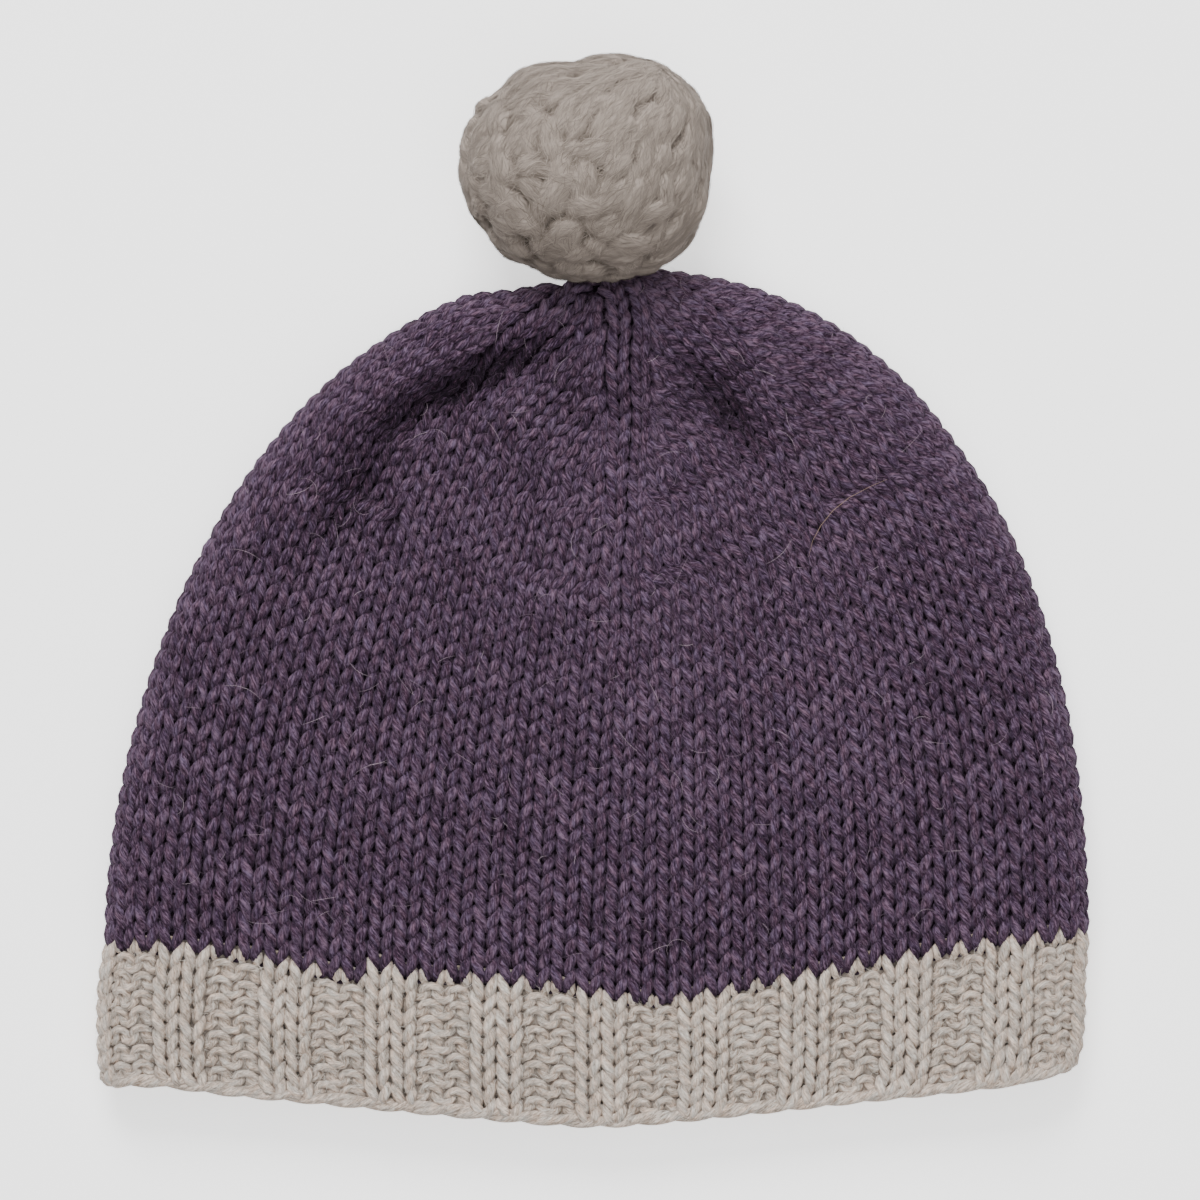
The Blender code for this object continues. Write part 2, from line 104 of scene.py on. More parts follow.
# Each row of the band from the seam down, with shares: left, right, ridge, middle, rolled edge
BAND_ROWS = [
    (0.00, 1.000, 1.000, 0.80, 1.00, 0.0),
    (0.18, 1.004, 1.002, 0.80, 1.00, 0.0),
    (0.50, 1.008, 1.004, 0.79, 0.98, 0.0),
    (0.78, 1.006, 0.998, 0.77, 0.96, 0.0),
    (0.91, 0.998, 0.984, 0.75, 0.94, 0.6),
    (1.00, 0.980, 0.955, 0.73, 0.93, 0.4),
]
HEM_ROLL = 0.0009

HALF_WIDTH = HAT_WIDTH / 2.0
SEAM_Y = -CROWN_LENGTH * SEAM_SHARE
TIP_Y = SEAM_Y + CROWN_LENGTH
HEM_Y = SEAM_Y - BAND_LENGTH
SIDE_HEM_Y = SEAM_Y + SEAM_SAG - SIDE_BAND_LENGTH

# The knit: columns round the hat, and courses up the crown and down the band
COLUMNS = 80
QUARTER = COLUMNS // 4
CROWN_COURSES = 45
BAND_COURSES = 8
BAND_COURSES_LONG = 8.7
# The column where each round of the yarn starts, and how many columns level the step there
JOG_COLUMN = 11
JOIN_COLUMNS = 4.0
SECTION = 10
# Courses where one column of each section of ten ends, nearest the spine first
COLUMN_ENDS = (25.5, 30.0, 33.0, 34.8, 36.3, 38.0, 39.8, 41.6, 43.3)
# A column narrows to this share of its width over these courses where it ends
ENDED_SHARE = 0.03
END_START = 1.3
END_COURSES = 1.5

# One loop: its sway and reach in columns and courses, and its depth and yarn in metres
LOOP_SWAY = 0.212
LOOP_REACH = 0.88
LOOP_DEPTH = 0.00098
YARN_RADIUS = 0.00106
LEG_SWELL = 0.15
PURL_SINK = 0.0010
FRONT_POINTS = 16
BACK_POINTS = 10
YARN_SIDES = 6

# Spread of the loops' sway and reach, and of their middles across and along, as shares
SWAY_SPREAD = 0.10
REACH_SPREAD = 0.035
ACROSS_SPREAD = 0.020
ALONG_SPREAD = 0.05
# The part of a loop over which a knit stitch turns into a purl stitch
PURL_TURN = math.pi / 3.0
PURL_TOP_COURSES = 0.5
SINK_START = -0.35
SINK_COURSES = 0.8
HEM_OVERHANG = 0.30
# The yarn is thinner near the tip, from this course on
NARROW_START = 40.0
NARROW_COURSES = 5.0
NARROW_SHARE = 0.18

# Shade of the yarn, where 0.5 is the middle: random tone from loop to loop and along the yarn, with
# painted shade where the loops pass behind each other and in the creases, a painted highlight on
# the legs in front, and painted light near the tip
LOOP_SHADE = 0.05
YARN_SHADE = 0.08
YARN_SHADE_CELLS = 900
LEG_PAINTED_SHADE = 0.72
BAND_LEG_PAINTED_SHADE = 0.40
PAINTED_SHADE_PIVOT = 0.74
CREASE_PAINTED_SHADE = 0.80
CREASE_DEPTH = 0.12 * MIDDLE_HEIGHT
TIP_PAINTED_LIGHT = 0.26
TIP_PAINTED_LIGHT_START = 37.0
TIP_PAINTED_LIGHT_COURSES = 6.0


def ease(share):
    """A smooth step from 0 to 1."""
    share = np.clip(share, 0.0, 1.0)
    return share * share * (3.0 - 2.0 * share)


def between(start, end, share):
    """The value at a share of the way from one to another."""
    return start + (end - start) * share


def rounded_slope(share, rounding):
    """A straight rise from 0 to 1 that starts with a rounded foot."""
    rise = np.sqrt(share * share + rounding * rounding) - rounding
    return rise / (math.sqrt(1.0 + rounding * rounding) - rounding)


def read_rows(table, place):
    """The other columns of a table, where places lie between the rows of its first column."""
    keys, *columns = zip(*table)
    return [np.interp(place, keys, column) for column in columns]


def lengths_along(points):
    """Lengths along lines of points from their starts."""
    steps = np.linalg.norm(np.diff(points, axis=-2), axis=-1)
    return np.concatenate([np.zeros_like(steps[..., :1]), np.cumsum(steps, axis=-1)], axis=-1)


def side_seam_y(sign):
    """Where the seam to the band meets the fold on one side."""
    return SEAM_Y + SEAM_SAG + sign * SEAM_TILT / 2.0


def outline(side):
    """One side of the crown's outline from the seam to the tip, as points and arc lengths."""
    turn = np.linspace(0.0, math.pi / 2.0, OUTLINE_POINTS)
    up = np.sin(turn)
    wide = np.power(np.maximum(1.0 - np.power(up, side.rise), 0.0), 1.0 / side.narrowing)
    x = between(SPINE_OFFSET, side.sign * HALF_WIDTH, wide)
    y = between(side_seam_y(side.sign), TIP_Y + side.shoulder, up)
    y = y - side.shoulder * np.exp(-((x - SPINE_OFFSET) / DIMPLE_WIDTH) ** 2)
    return x, y, lengths_along(np.stack([x, y], -1))


OUTLINES = {side.sign: outline(side) for side in (LEFT, RIGHT)}


def along_outline(across, to_tip):
    """Points and inward directions on the outline's left or right side, at arcs from the tip."""
    sides = []
    for sign, (x, y, lengths) in OUTLINES.items():
        place = np.clip(lengths[-1] - to_tip, 0.0, lengths[-1])
        nudge = lengths[-1] / OUTLINE_POINTS
        ahead = np.minimum(place + nudge, lengths[-1])
        behind = ahead - 2.0 * nudge
        dx = np.interp(ahead, lengths, x) - np.interp(behind, lengths, x)
        dy = np.interp(ahead, lengths, y) - np.interp(behind, lengths, y)
        size = np.hypot(dx, dy)
        point = np.interp(place, lengths, x), np.interp(place, lengths, y)
        sides.append((point, (-sign * dy / size, sign * dx / size)))
    return np.where(across < 0.0, *sides)


def fold_length(half_height):
    """Arc length of the rounded fold from its outermost line to its top."""
    return math.pi / 2.0 * np.sqrt((FOLD_REACH ** 2 + half_height ** 2) / 2.0)


def over_fold(arc, half_height):
    """Distance in from the outline, and share of the fold's rise, after an arc over the fold."""
    fold = fold_length(half_height)
    turn = math.pi / 2.0 * np.minimum(arc / fold, 1.0)
    inward = FOLD_REACH * (1.0 - np.cos(turn)) + np.maximum(arc - fold, 0.0)
    return inward, np.sin(turn)


def tip_row(across, edge_left, middle_left, half_height):
    """Rows near the tip: arcs about the tip, measured over the fold."""
    turn = math.pi / 2.0 * (1.0 - np.abs(across))
    inward, rise = over_fold(middle_left * np.sin(turn), half_height)
    point, direction = along_outline(across, edge_left * np.cos(turn))
    return (*(point + direction * inward), inward, rise)


def body_row(across, row, edge_left, middle_left, half_height):
    """Rows of the body: from the fold on each side to the middle line, lower in the middle."""
    middle_x = between(SEAM_MIDDLE_SHARE, 1.0, row) * SPINE_OFFSET
    middle_y = TIP_Y - over_fold(middle_left, half_height)[0]
    edge_x, edge_y = along_outline(across, edge_left)[0]
    span = np.hypot(edge_x - middle_x, edge_y - middle_y)
    arc = (span - FOLD_REACH + fold_length(half_height)) * (1.0 - np.abs(across))
    inward, rise = over_fold(arc, half_height)
    outer = 1.0 - inward / span
    sag = between(ease(outer), rounded_slope(outer, ROW_ROUNDING), ease(row / SEAM_ROWS))
    return between(middle_x, edge_x, outer), between(middle_y, edge_y, sag), inward, rise


def dent_depth(dents, x, y):
    """How far the upper layer is dented at a place."""
    depth = np.zeros_like(x)
    for dent in dents:
        across = x - dent.across * HALF_WIDTH
        along = y - (SEAM_Y + dent.along * CROWN_LENGTH)
        cos, sin = math.cos(math.radians(dent.turn)), math.sin(math.radians(dent.turn))
        spread = ((across * cos + along * sin) / (dent.half_long * HALF_WIDTH)) ** 2
        spread = spread + ((along * cos - across * sin) / (dent.half_wide * CROWN_LENGTH)) ** 2
        depth = depth + dent.depth * MIDDLE_HEIGHT * np.exp(-spread)
    return depth


def crown_surface(across, row, upper):
    """Points of the crown's outer surface: across from -1 at the left fold to 1 at the right one,
    row from 0 at the seam to 1 at the ring round the tip."""
    left_ridge, right_ridge, middle, lift = read_rows(CROWN_PUFF, row)
    ridge = RIDGE_HEIGHT * between(left_ridge, right_ridge, ease(0.5 + across / 2.0))
    lift = TIP_LIFT * lift
    middle = np.minimum(MIDDLE_HEIGHT * middle, ridge)
    half_height = (ridge - lift) / 2.0
    middle_total = CROWN_LENGTH - FOLD_REACH + fold_length(half_height)
    edge_total = np.where(across < 0.0, OUTLINES[LEFT.sign][2][-1], OUTLINES[RIGHT.sign][2][-1])
    middle_left = between(middle_total, TIP_RING, row)
    edge_left = between(edge_total, TIP_RING, row)
    body = body_row(across, row, edge_left, middle_left, half_height)
    tip = tip_row(across, edge_left, middle_left, half_height)
    near_tip = ease((row - TIP_ROWS_START) / TIP_ROWS_SPAN)
    x, y, inward, rise = (between(one, two, near_tip) for one, two in zip(body, tip))
    edge_height = (ridge + lift) / 2.0
    settle = ease((inward - FOLD_REACH) / (MIDDLE_REACH - FOLD_REACH))
    top = between(edge_height, between(ridge, middle, settle), rise)
    top = top - dent_depth(CROWN_DENTS + CREASES, x, y) * ease(inward / (2.0 * FOLD_REACH))
    return np.stack([x, y, np.where(upper, top, between(edge_height, lift, rise))], -1)


def band_surface(across, down, upper):
    """Points of the band's outer surface: down from 0 at the seam to 1 at the hem."""
    left, right, ridge, middle, roll = read_rows(BAND_ROWS, down)
    ridge, middle, proud = RIDGE_HEIGHT * ridge, MIDDLE_HEIGHT * middle, HEM_ROLL * roll
    half_height = ridge / 2.0
    middle_x = SEAM_MIDDLE_SHARE * SPINE_OFFSET
    sign = np.where(across < 0.0, -1.0, 1.0)
    edge_x = HALF_WIDTH * np.where(across < 0.0, -left, right)
    span = np.abs(edge_x - middle_x)
    arc = (span - FOLD_REACH + fold_length(half_height)) * (1.0 - np.abs(across))
    inward, rise = over_fold(arc, half_height)
    outer = 1.0 - inward / span
    middle_y = between(SEAM_Y, HEM_Y, down)
    edge_y = between(side_seam_y(sign), SIDE_HEM_Y, down)
    sag = between(ease(outer), rounded_slope(outer, HEM_ROUNDING), np.clip(down, 0.0, 1.0))
    x = between(middle_x, edge_x, outer) + sign * proud * (1.0 - rise)
    y = between(middle_y, edge_y, sag)
    settle = ease((inward - FOLD_REACH) / (MIDDLE_REACH - FOLD_REACH))
    top = between(half_height, between(ridge, middle, settle) + proud, rise)
    return np.stack([x, y, np.where(upper, top, between(half_height, 0.0, rise))], -1)


# Courses, and the x where the middle line of the upper layer's columns runs there
SPINE_LINE = [
    (-9.0, 0.0018), (0.0, 0.0018), (10.0, 0.0030), (20.0, 0.0050), (23.0, 0.0062),
    (26.0, 0.0061), (29.0, 0.0075), (32.0, 0.0076), (35.0, 0.0086), (38.0, 0.0082),
    (41.0, 0.0088), (43.0, 0.0074), (46.0, 0.0030),
]
# Each x, and how far the cloth lies above its solid's line there: at the seam, the hem and the top
SEAM_SHIFT = [
    (-0.110, 0.0005), (-0.085, 0.0014), (-0.065, 0.0009), (-0.042, -0.0001), (-0.020, 0.0018),
    (-0.008, 0.0014), (0.000, 0.0004), (0.015, -0.0018), (0.032, -0.0012), (0.048, -0.0013),
    (0.065, -0.0016), (0.095, -0.0020), (0.110, -0.0014),
]
HEM_SHIFT = [
    (-0.109, -0.0014), (-0.097, 0.0008), (-0.080, 0.0003), (0.025, 0.0003), (0.060, 0.0006),
    (0.095, 0.0009), (0.108, 0.0016),
]
TOP_SHIFT = [
    (-0.050, 0.0), (-0.029, 0.0009), (-0.018, -0.0009), (-0.010, -0.0004), (-0.004, 0.0006),
    (0.004, 0.0012), (0.012, 0.0008), (0.022, 0.0),
]
SEAM_COURSES = 12.0
TOP_START = 0.040
TOP_FADE = 0.025
# How much fuller the cloth is than its solid at the right fold, and how far left the band hangs
FULLER_RIGHT = 0.0013
FULLER_END = 0.038
FULLER_FADE = 0.025
BAND_LEFT = 0.0010
BAND_LEFT_COURSES = 3.0
# The groove along the spine, where the columns end in pairs
GROOVE_DEPTH = 0.0004
GROOVE_WIDTH = 0.0020
GROOVE_START = 22.0
GROOVE_COURSES = 4.0
# Half steps around and along the cloth for its directions
FRAME_AROUND = 0.006
FRAME_COURSE = 0.12


def cloth(around, course):
    """Points of the whole hat's outer surface.

    around runs from 0 at the left fold over the upper layer to 2 at the right fold and back under
    it to 4. course counts the courses of knit from the seam, up the crown and down the band.
    """
    around = np.mod(around, 4.0)
    upper = around < 2.0
    across = np.where(upper, around - 1.0, 3.0 - around)
    row = np.clip(course / CROWN_COURSES, 0.0, 1.0)
    crown = crown_surface(across, row, upper)
    band = band_surface(across, np.maximum(-course / BAND_COURSES_LONG, 0.0), upper)
    points = np.where((course >= 0.0)[..., None], crown, band)
    x, y = points[..., 0].copy(), points[..., 1].copy()
    near_seam = ease(1.0 + course / BAND_COURSES) * ease(1.0 - course / SEAM_COURSES)
    points[..., 1] += read_rows(SEAM_SHIFT, x)[0] * near_seam
    points[..., 1] += read_rows(HEM_SHIFT, x)[0] * ease(-course / BAND_COURSES)
    points[..., 1] += read_rows(TOP_SHIFT, x)[0] * ease((y - TOP_START) / TOP_FADE)
    fuller = np.clip(x / HALF_WIDTH, 0.0, 1.0) ** 2 * ease((FULLER_END - y) / FULLER_FADE)
    points[..., 0] += FULLER_RIGHT * fuller - BAND_LEFT * ease(-course / BAND_LEFT_COURSES)
    spine = read_rows(SPINE_LINE, course)[0]
    groove = np.exp(-((x - spine) / GROOVE_WIDTH) ** 2)
    groove = groove * ease((course - GROOVE_START) / GROOVE_COURSES)
    points[..., 2] -= GROOVE_DEPTH * groove * upper
    return points


def cloth_frame(around, course):
    """Points, outward normals and directions up the columns."""
    wide = cloth(around + FRAME_AROUND, course) - cloth(around - FRAME_AROUND, course)
    ahead = np.minimum(course + FRAME_COURSE, CROWN_COURSES)
    high = cloth(around, ahead) - cloth(around, ahead - 2.0 * FRAME_COURSE)
    normal = np.cross(wide, high)
    normal /= np.linalg.norm(normal, axis=-1, keepdims=True)
    high /= np.linalg.norm(high, axis=-1, keepdims=True)
    return cloth(around, course), normal, high


# Table of places that divide the courses evenly: its first course, step and cells
EVEN_FIRST = -10.0
EVEN_STEP = 0.25
EVEN_SHARES = 40
# Samples of each layer's half round, and those between which its middle line is looked for
LAYER_POINTS = 301
LAYER_INNER = slice(60, 241)
LAYER_END = 1.99999


def even_table():
    """Places around the hat that divide each quarter of a course into equal lengths."""
    courses = np.arange(EVEN_FIRST, CROWN_COURSES + 2.0, EVEN_STEP)
    shares = np.linspace(0.0, 1.0, EVEN_SHARES + 1)
    table = np.zeros((4, len(courses), EVEN_SHARES + 1))
    for layer in (0, 1):
        around = np.linspace(2.0 * layer, 2.0 * layer + LAYER_END, LAYER_POINTS)
        spots = cloth(*np.meshgrid(around, courses))
        for number, (course, line) in enumerate(zip(courses, spots)):
            length = lengths_along(line)
            middle = length[LAYER_POINTS // 2]
            if layer == 0:
                spine = read_rows(SPINE_LINE, course)[0]
                middle = np.interp(spine, line[LAYER_INNER, 0], length[LAYER_INNER])
            table[2 * layer, number] = np.interp(middle - middle * shares, length, around)
            ahead = middle + (length[-1] - middle) * shares
            table[2 * layer + 1, number] = np.interp(ahead, length, around)
    return table


EVEN_TABLE = even_table()


def even_around(quarter, share, course):
    """The place around the hat at a share of a quarter from its middle line to its fold."""
    place = np.clip((course - EVEN_FIRST) / EVEN_STEP, 0.0, EVEN_TABLE.shape[1] - 1.001)
    row = np.floor(place).astype(int)
    step = np.clip(share * EVEN_SHARES, 0.0, EVEN_SHARES - 0.001)
    cell = np.floor(step).astype(int)
    rows = EVEN_TABLE[quarter, row], EVEN_TABLE[quarter, row + 1]
    spots = np.arange(len(cell))
    low, high = (between(line[spots, cell], line[spots, cell + 1], step - cell) for line in rows)
    return between(low, high, place - row)


# The course where each of a quarter's columns ends. The first of each section runs on
ENDS = np.tile([np.inf, *COLUMN_ENDS], QUARTER // SECTION)


def column_edges(course):
    """For each course place, the edges of a quarter's columns, as shares from the middle."""
    ended = ease((course[:, None] - ENDS + END_START) / END_COURSES)
    total = np.cumsum(1.0 - (1.0 - ENDED_SHARE) * ended, axis=1)
    edges = np.concatenate([np.zeros((len(course), 1)), total], axis=1)
    return edges / total[:, -1:]


def place_in_quarter(column):
    """The quarter that a column lies in, whether it counts backwards, and its place there."""
    quarter = column // QUARTER
    backwards = quarter % 2 == 0
    place = column % QUARTER
    return quarter, backwards, np.where(backwards, QUARTER - 1 - place, place)


def column_around(column, inside, course):
    """Where a place inside a column lies around the hat: inside from 0 to 1 across the column."""
    edges = column_edges(course)
    quarter, backwards, place = place_in_quarter(column)
    rows = np.arange(len(column))
    near, far = edges[rows, place], edges[rows, place + 1]
    share = np.where(backwards, between(far, near, inside), between(near, far, inside))
    return even_around(quarter, share, course)


def is_purl(column, course):
    """True on the sunk columns of the band's two-by-two rib."""
    return (course < 0) & ((column + 1) % 4 >= 2)


def helix(first_course, last_course):
    """The loops of a stretch of knitting in the order they are worked: columns and courses."""
    order = (JOG_COLUMN - 1 - np.arange(COLUMNS)) % COLUMNS
    columns, courses, turns = [], [], []
    for course in range(first_course, last_course):
        alive = course + 0.5 < ENDS[place_in_quarter(order)[2]]
        columns.append(order[alive])
        courses.append(np.full(alive.sum(), course))
        turns.append((np.arange(COLUMNS) / COLUMNS)[alive])
    return np.concatenate(columns), np.concatenate(courses), np.concatenate(turns)


def smooth_noise(seed, places, cells):
    """Smooth random numbers from -1 to 1 along a line."""
    draw = np.random.default_rng(seed)
    values = draw.uniform(-1.0, 1.0, cells + 2)
    place = np.clip(places, 0.0, 1.0) * cells
    low = np.floor(place).astype(int)
    return between(values[low], values[low + 1], ease(place - low))


def level_hem(height, climbed):
    """Stretch the band's spiral so that its hem runs level, with the climb at the join."""
    below = (climbed - height) / BAND_COURSES
    level = climbed - below * (BAND_COURSES + climbed)
    step = np.clip(below, 0.0, 1.0)
    before = 0.5 * ease((climbed - 1.0) * COLUMNS / JOIN_COLUMNS + 1.0)
    after = 0.5 * (1.0 - ease(climbed * COLUMNS / JOIN_COLUMNS))
    return level + (before - after) * step


def knit_yarn(first_course, last_course, seed):
    """The yarn of a stretch of knitting: points, outward directions, radii and shades."""
    columns, courses, turns = helix(first_course, last_course)
    draw = np.random.default_rng(seed)
    counts = np.where(columns < COLUMNS // 2, FRONT_POINTS, BACK_POINTS)
    loop = np.repeat(np.arange(len(columns)), counts)
    starts = np.cumsum(counts) - counts
    step = np.arange(len(loop)) - starts[loop]
    turn = 2.0 * math.pi * (1.0 - step / counts[loop])
    column, course = columns[loop], courses[loop]

    jitter = draw.normal(0.0, 1.0, (4, len(columns)))
    sway = LOOP_SWAY * (1.0 + SWAY_SPREAD * jitter[0][loop])
    reach = LOOP_REACH * (1.0 + REACH_SPREAD * jitter[1][loop])
    top = np.sin(turn / 2.0) ** 2
    passed = (1.0 - turn / (2.0 * math.pi)) / COLUMNS
    inside = turn / (2.0 * math.pi) + sway * np.sin(2.0 * turn)
    inside = inside + ACROSS_SPREAD * jitter[2][loop] * top
    height = course + turns[loop] - reach * np.cos(turn)
    height = height + ALONG_SPREAD * jitter[3][loop] * top + passed
    climbed = turns[loop] + passed
    local = height - climbed

    purl = is_purl(column, course)
    previous = np.roll(is_purl(columns, courses), 1)[loop]
    following = np.roll(is_purl(columns, courses), -1)[loop]
    near_start = ease((2.0 * math.pi - turn) / PURL_TURN)
    near_end = ease(turn / PURL_TURN)
    blend = np.where(previous != purl, near_start, 1.0) * np.where(following != purl, near_end, 1.0)
    side = np.where(purl, -1.0, 1.0) * blend
    top_purl = purl & (course == -1)
    side = np.where(top_purl, between(side, 1.0, ease((local + 1.0) / PURL_TOP_COURSES)), side)
    sink = np.where(purl, between(0.5, 1.0, blend), 0.5 * (1.0 - blend))

    swell = 0.5 - 0.5 * np.cos(2.0 * turn)
    radius = YARN_RADIUS * (1.0 - LEG_SWELL + 2.0 * LEG_SWELL * swell)
    depth = -(YARN_RADIUS * (1.0 + LEG_SWELL) + LOOP_DEPTH) - side * LOOP_DEPTH * np.cos(2.0 * turn)
    depth = depth - PURL_SINK * sink * ease((SINK_START - local) / SINK_COURSES)

    around = column_around(column, inside, height)
    hemmed = np.maximum(level_hem(height, climbed), -BAND_COURSES - HEM_OVERHANG)
    height = np.where(course < 0, hemmed, height)
    narrow = np.clip((height - NARROW_START) / NARROW_COURSES, 0.0, 1.0)
    radius = radius * (1.0 - NARROW_SHARE * narrow)
    points, normals, _ = cloth_frame(around, height)
    points = points + normals * depth[:, None]
    points[:, 2] = np.maximum(points[:, 2], radius)

    # Painted shade where each loop passes behind its neighbours, and a painted highlight on the
    # legs in front
    shown = between(1.0 - swell, swell, 0.5 + 0.5 * side)
    legs = np.where(course < 0, BAND_LEG_PAINTED_SHADE, LEG_PAINTED_SHADE)
    mottle = smooth_noise(seed + 1, loop / loop[-1], YARN_SHADE_CELLS)
    shade = 0.5 + LOOP_SHADE * jitter[0][loop] + YARN_SHADE * mottle
    shade = shade + legs * (shown - PAINTED_SHADE_PIVOT)
    # Painted shade in the narrow creases of the upper layer
    shaded_depth = dent_depth(CREASES, points[:, 0], points[:, 1]) / CREASE_DEPTH
    shade = shade - CREASE_PAINTED_SHADE * np.where(column < COLUMNS // 2, shaded_depth, 0.0)
    # Painted light near the tip, which lightens the yarn where the pompom's shadow falls
    shade = shade + TIP_PAINTED_LIGHT * ease((height - TIP_PAINTED_LIGHT_START) / TIP_PAINTED_LIGHT_COURSES)
    return points, normals, radius, np.clip(shade, 0.0, 1.0)


# A map with room of its own for each face: steps of a tube to a row, and the share of a row that is
# filled
BAKE_MAP = "OFBake"
MAP_STEPS = 12.0
MAP_FILL = 0.94
# How much narrower a fibre is at its ends
FIBRE_TAPER = 0.75


def unit(vectors):
    """Vectors of length one."""
    return vectors / np.maximum(np.linalg.norm(vectors, axis=-1, keepdims=True), 1e-12)


def face_map(*sides):
    """Where the four corners of each face lie, between its left, right, low and high side."""
    left, right, low, high = np.broadcast_arrays(*sides)
    wide = np.stack([left, left, right, right], -1)
    return np.stack([wide, np.stack([low, high, high, low], -1)], -1)


def strip_map(strands, count, sides):
    """A map with room of its own for each face: the tubes cut into strips that fill a square."""
    steps = strands * (count - 1)
    rows = max(1, int(round(math.sqrt(steps / MAP_STEPS))))
    per_row = int(math.ceil(steps / rows))
    step = np.arange(steps)
    left = ((step % per_row) / per_row)[:, None]
    base = ((step // per_row) / rows)[:, None]
    low = base + (np.arange(sides) / sides * MAP_FILL + (1.0 - MAP_FILL) / 2.0) / rows
    return face_map(left, left + 1.0 / per_row, low, low + MAP_FILL / sides / rows)


def place_object(name, data, place=(0.0, 0.0, 0.0)):
    """A new object in the scene."""
    placed = bpy.data.objects.new(name, data)
    placed.location = place
    bpy.context.scene.collection.objects.link(placed)
    return placed


def smooth_piece(name, mesh):
    """An object of a mesh with smooth shading."""
    mesh.shade_smooth()
    return place_object(name, mesh)


def add_shades(mesh, shades):
    """Give each point of a mesh its shade."""
    tint = mesh.attributes.new("shade", "FLOAT", "POINT")
    tint.data.foreach_set("value", shades.astype(np.float32))


def strip_mesh(name, verts, faces, shades, maps):
    """A piece of four-sided faces with a shade at each point and named maps of its faces."""
    mesh = bpy.data.meshes.new(name)
    mesh.vertices.add(verts.size // 3)
    mesh.vertices.foreach_set("co", verts.reshape(-1).astype(np.float32))
    mesh.loops.add(faces.size)
    mesh.loops.foreach_set("vertex_index", faces.reshape(-1).astype(np.int32))
    mesh.polygons.add(faces.size // 4)
    mesh.polygons.foreach_set("loop_start", np.arange(0, faces.size, 4, dtype=np.int32))
    mesh.update(calc_edges=True)
    for title, places in maps:
        layer = mesh.uv_layers.new(name=title)
        layer.uv.foreach_set("vector", places.reshape(-1).astype(np.float32))
    mesh.uv_layers.active_index = 0
    mesh.uv_layers[0].active_render = True
    add_shades(mesh, shades)
    return smooth_piece(name, mesh)


def tube_mesh(name, points, ups, radii, shades, sides):
    """One mesh of many open tubes: points is strands by points by 3."""
    strands, count = points.shape[:2]
    tangent = unit(np.gradient(points, axis=1))
    side = unit(np.cross(tangent, ups))
    top = np.cross(side, tangent)
    angle = (2.0 * math.pi * np.arange(sides) / sides)[:, None]
    ring = np.cos(angle) * side[:, :, None] + np.sin(angle) * top[:, :, None]
    verts = points[:, :, None] + ring * radii[:, :, None, None]
    index = np.arange(strands * count * sides).reshape(strands, count, sides)
    after = np.roll(index, -1, axis=2)
    faces = np.stack([index[:, :-1], after[:, :-1], after[:, 1:], index[:, 1:]], -1)
    along = lengths_along(points)[:, :, None]
    low = np.arange(sides) / sides
    maps = [("yarn", face_map(along[:, :-1], along[:, 1:], low, low + 1.0 / sides)),
            (BAKE_MAP, strip_map(strands, count, sides))]
    return strip_mesh(name, verts, faces, np.repeat(shades.reshape(-1), sides), maps)


def ribbon_mesh(name, points, ups, width, shades):
    """One mesh of many thin flat fibres that lie facing outwards and narrow to their ends."""
    strands, count = points.shape[:2]
    tangent = unit(np.gradient(points, axis=1))
    side = unit(np.cross(tangent, ups))
    taper = width / 2.0 * (1.0 - FIBRE_TAPER * np.linspace(-1.0, 1.0, count) ** 2)
    edge = side * taper[:, None]
    verts = np.stack([points - edge, points + edge], 2)
    index = np.arange(strands * count * 2).reshape(strands, count, 2)
    faces = np.stack([index[:, 1:, 0], index[:, 1:, 1], index[:, :-1, 1], index[:, :-1, 0]], -1)
    maps = [(BAKE_MAP, strip_map(strands, count, 1))]
    return strip_mesh(name, verts, faces, np.repeat(shades, count * 2), maps)


def grid_mesh(name, around, course, depth):
    """A sheet that follows the hat at a depth under its outer surface."""
    points, normals, _ = cloth_frame(*np.meshgrid(around, course))
    verts = points - normals * depth
    rows, columns = verts.shape[:2]
    index = np.arange(rows * columns).reshape(rows, columns)
    after = np.roll(index, -1, axis=1)
    faces = np.stack([index[:-1], after[:-1], after[1:], index[1:]], -1).reshape(-1, 4)
    mesh = bpy.data.meshes.new(name)
    mesh.from_pydata(verts.reshape(-1, 3).tolist(), [], faces.tolist())
    mesh.update()
    return smooth_piece(name, mesh)


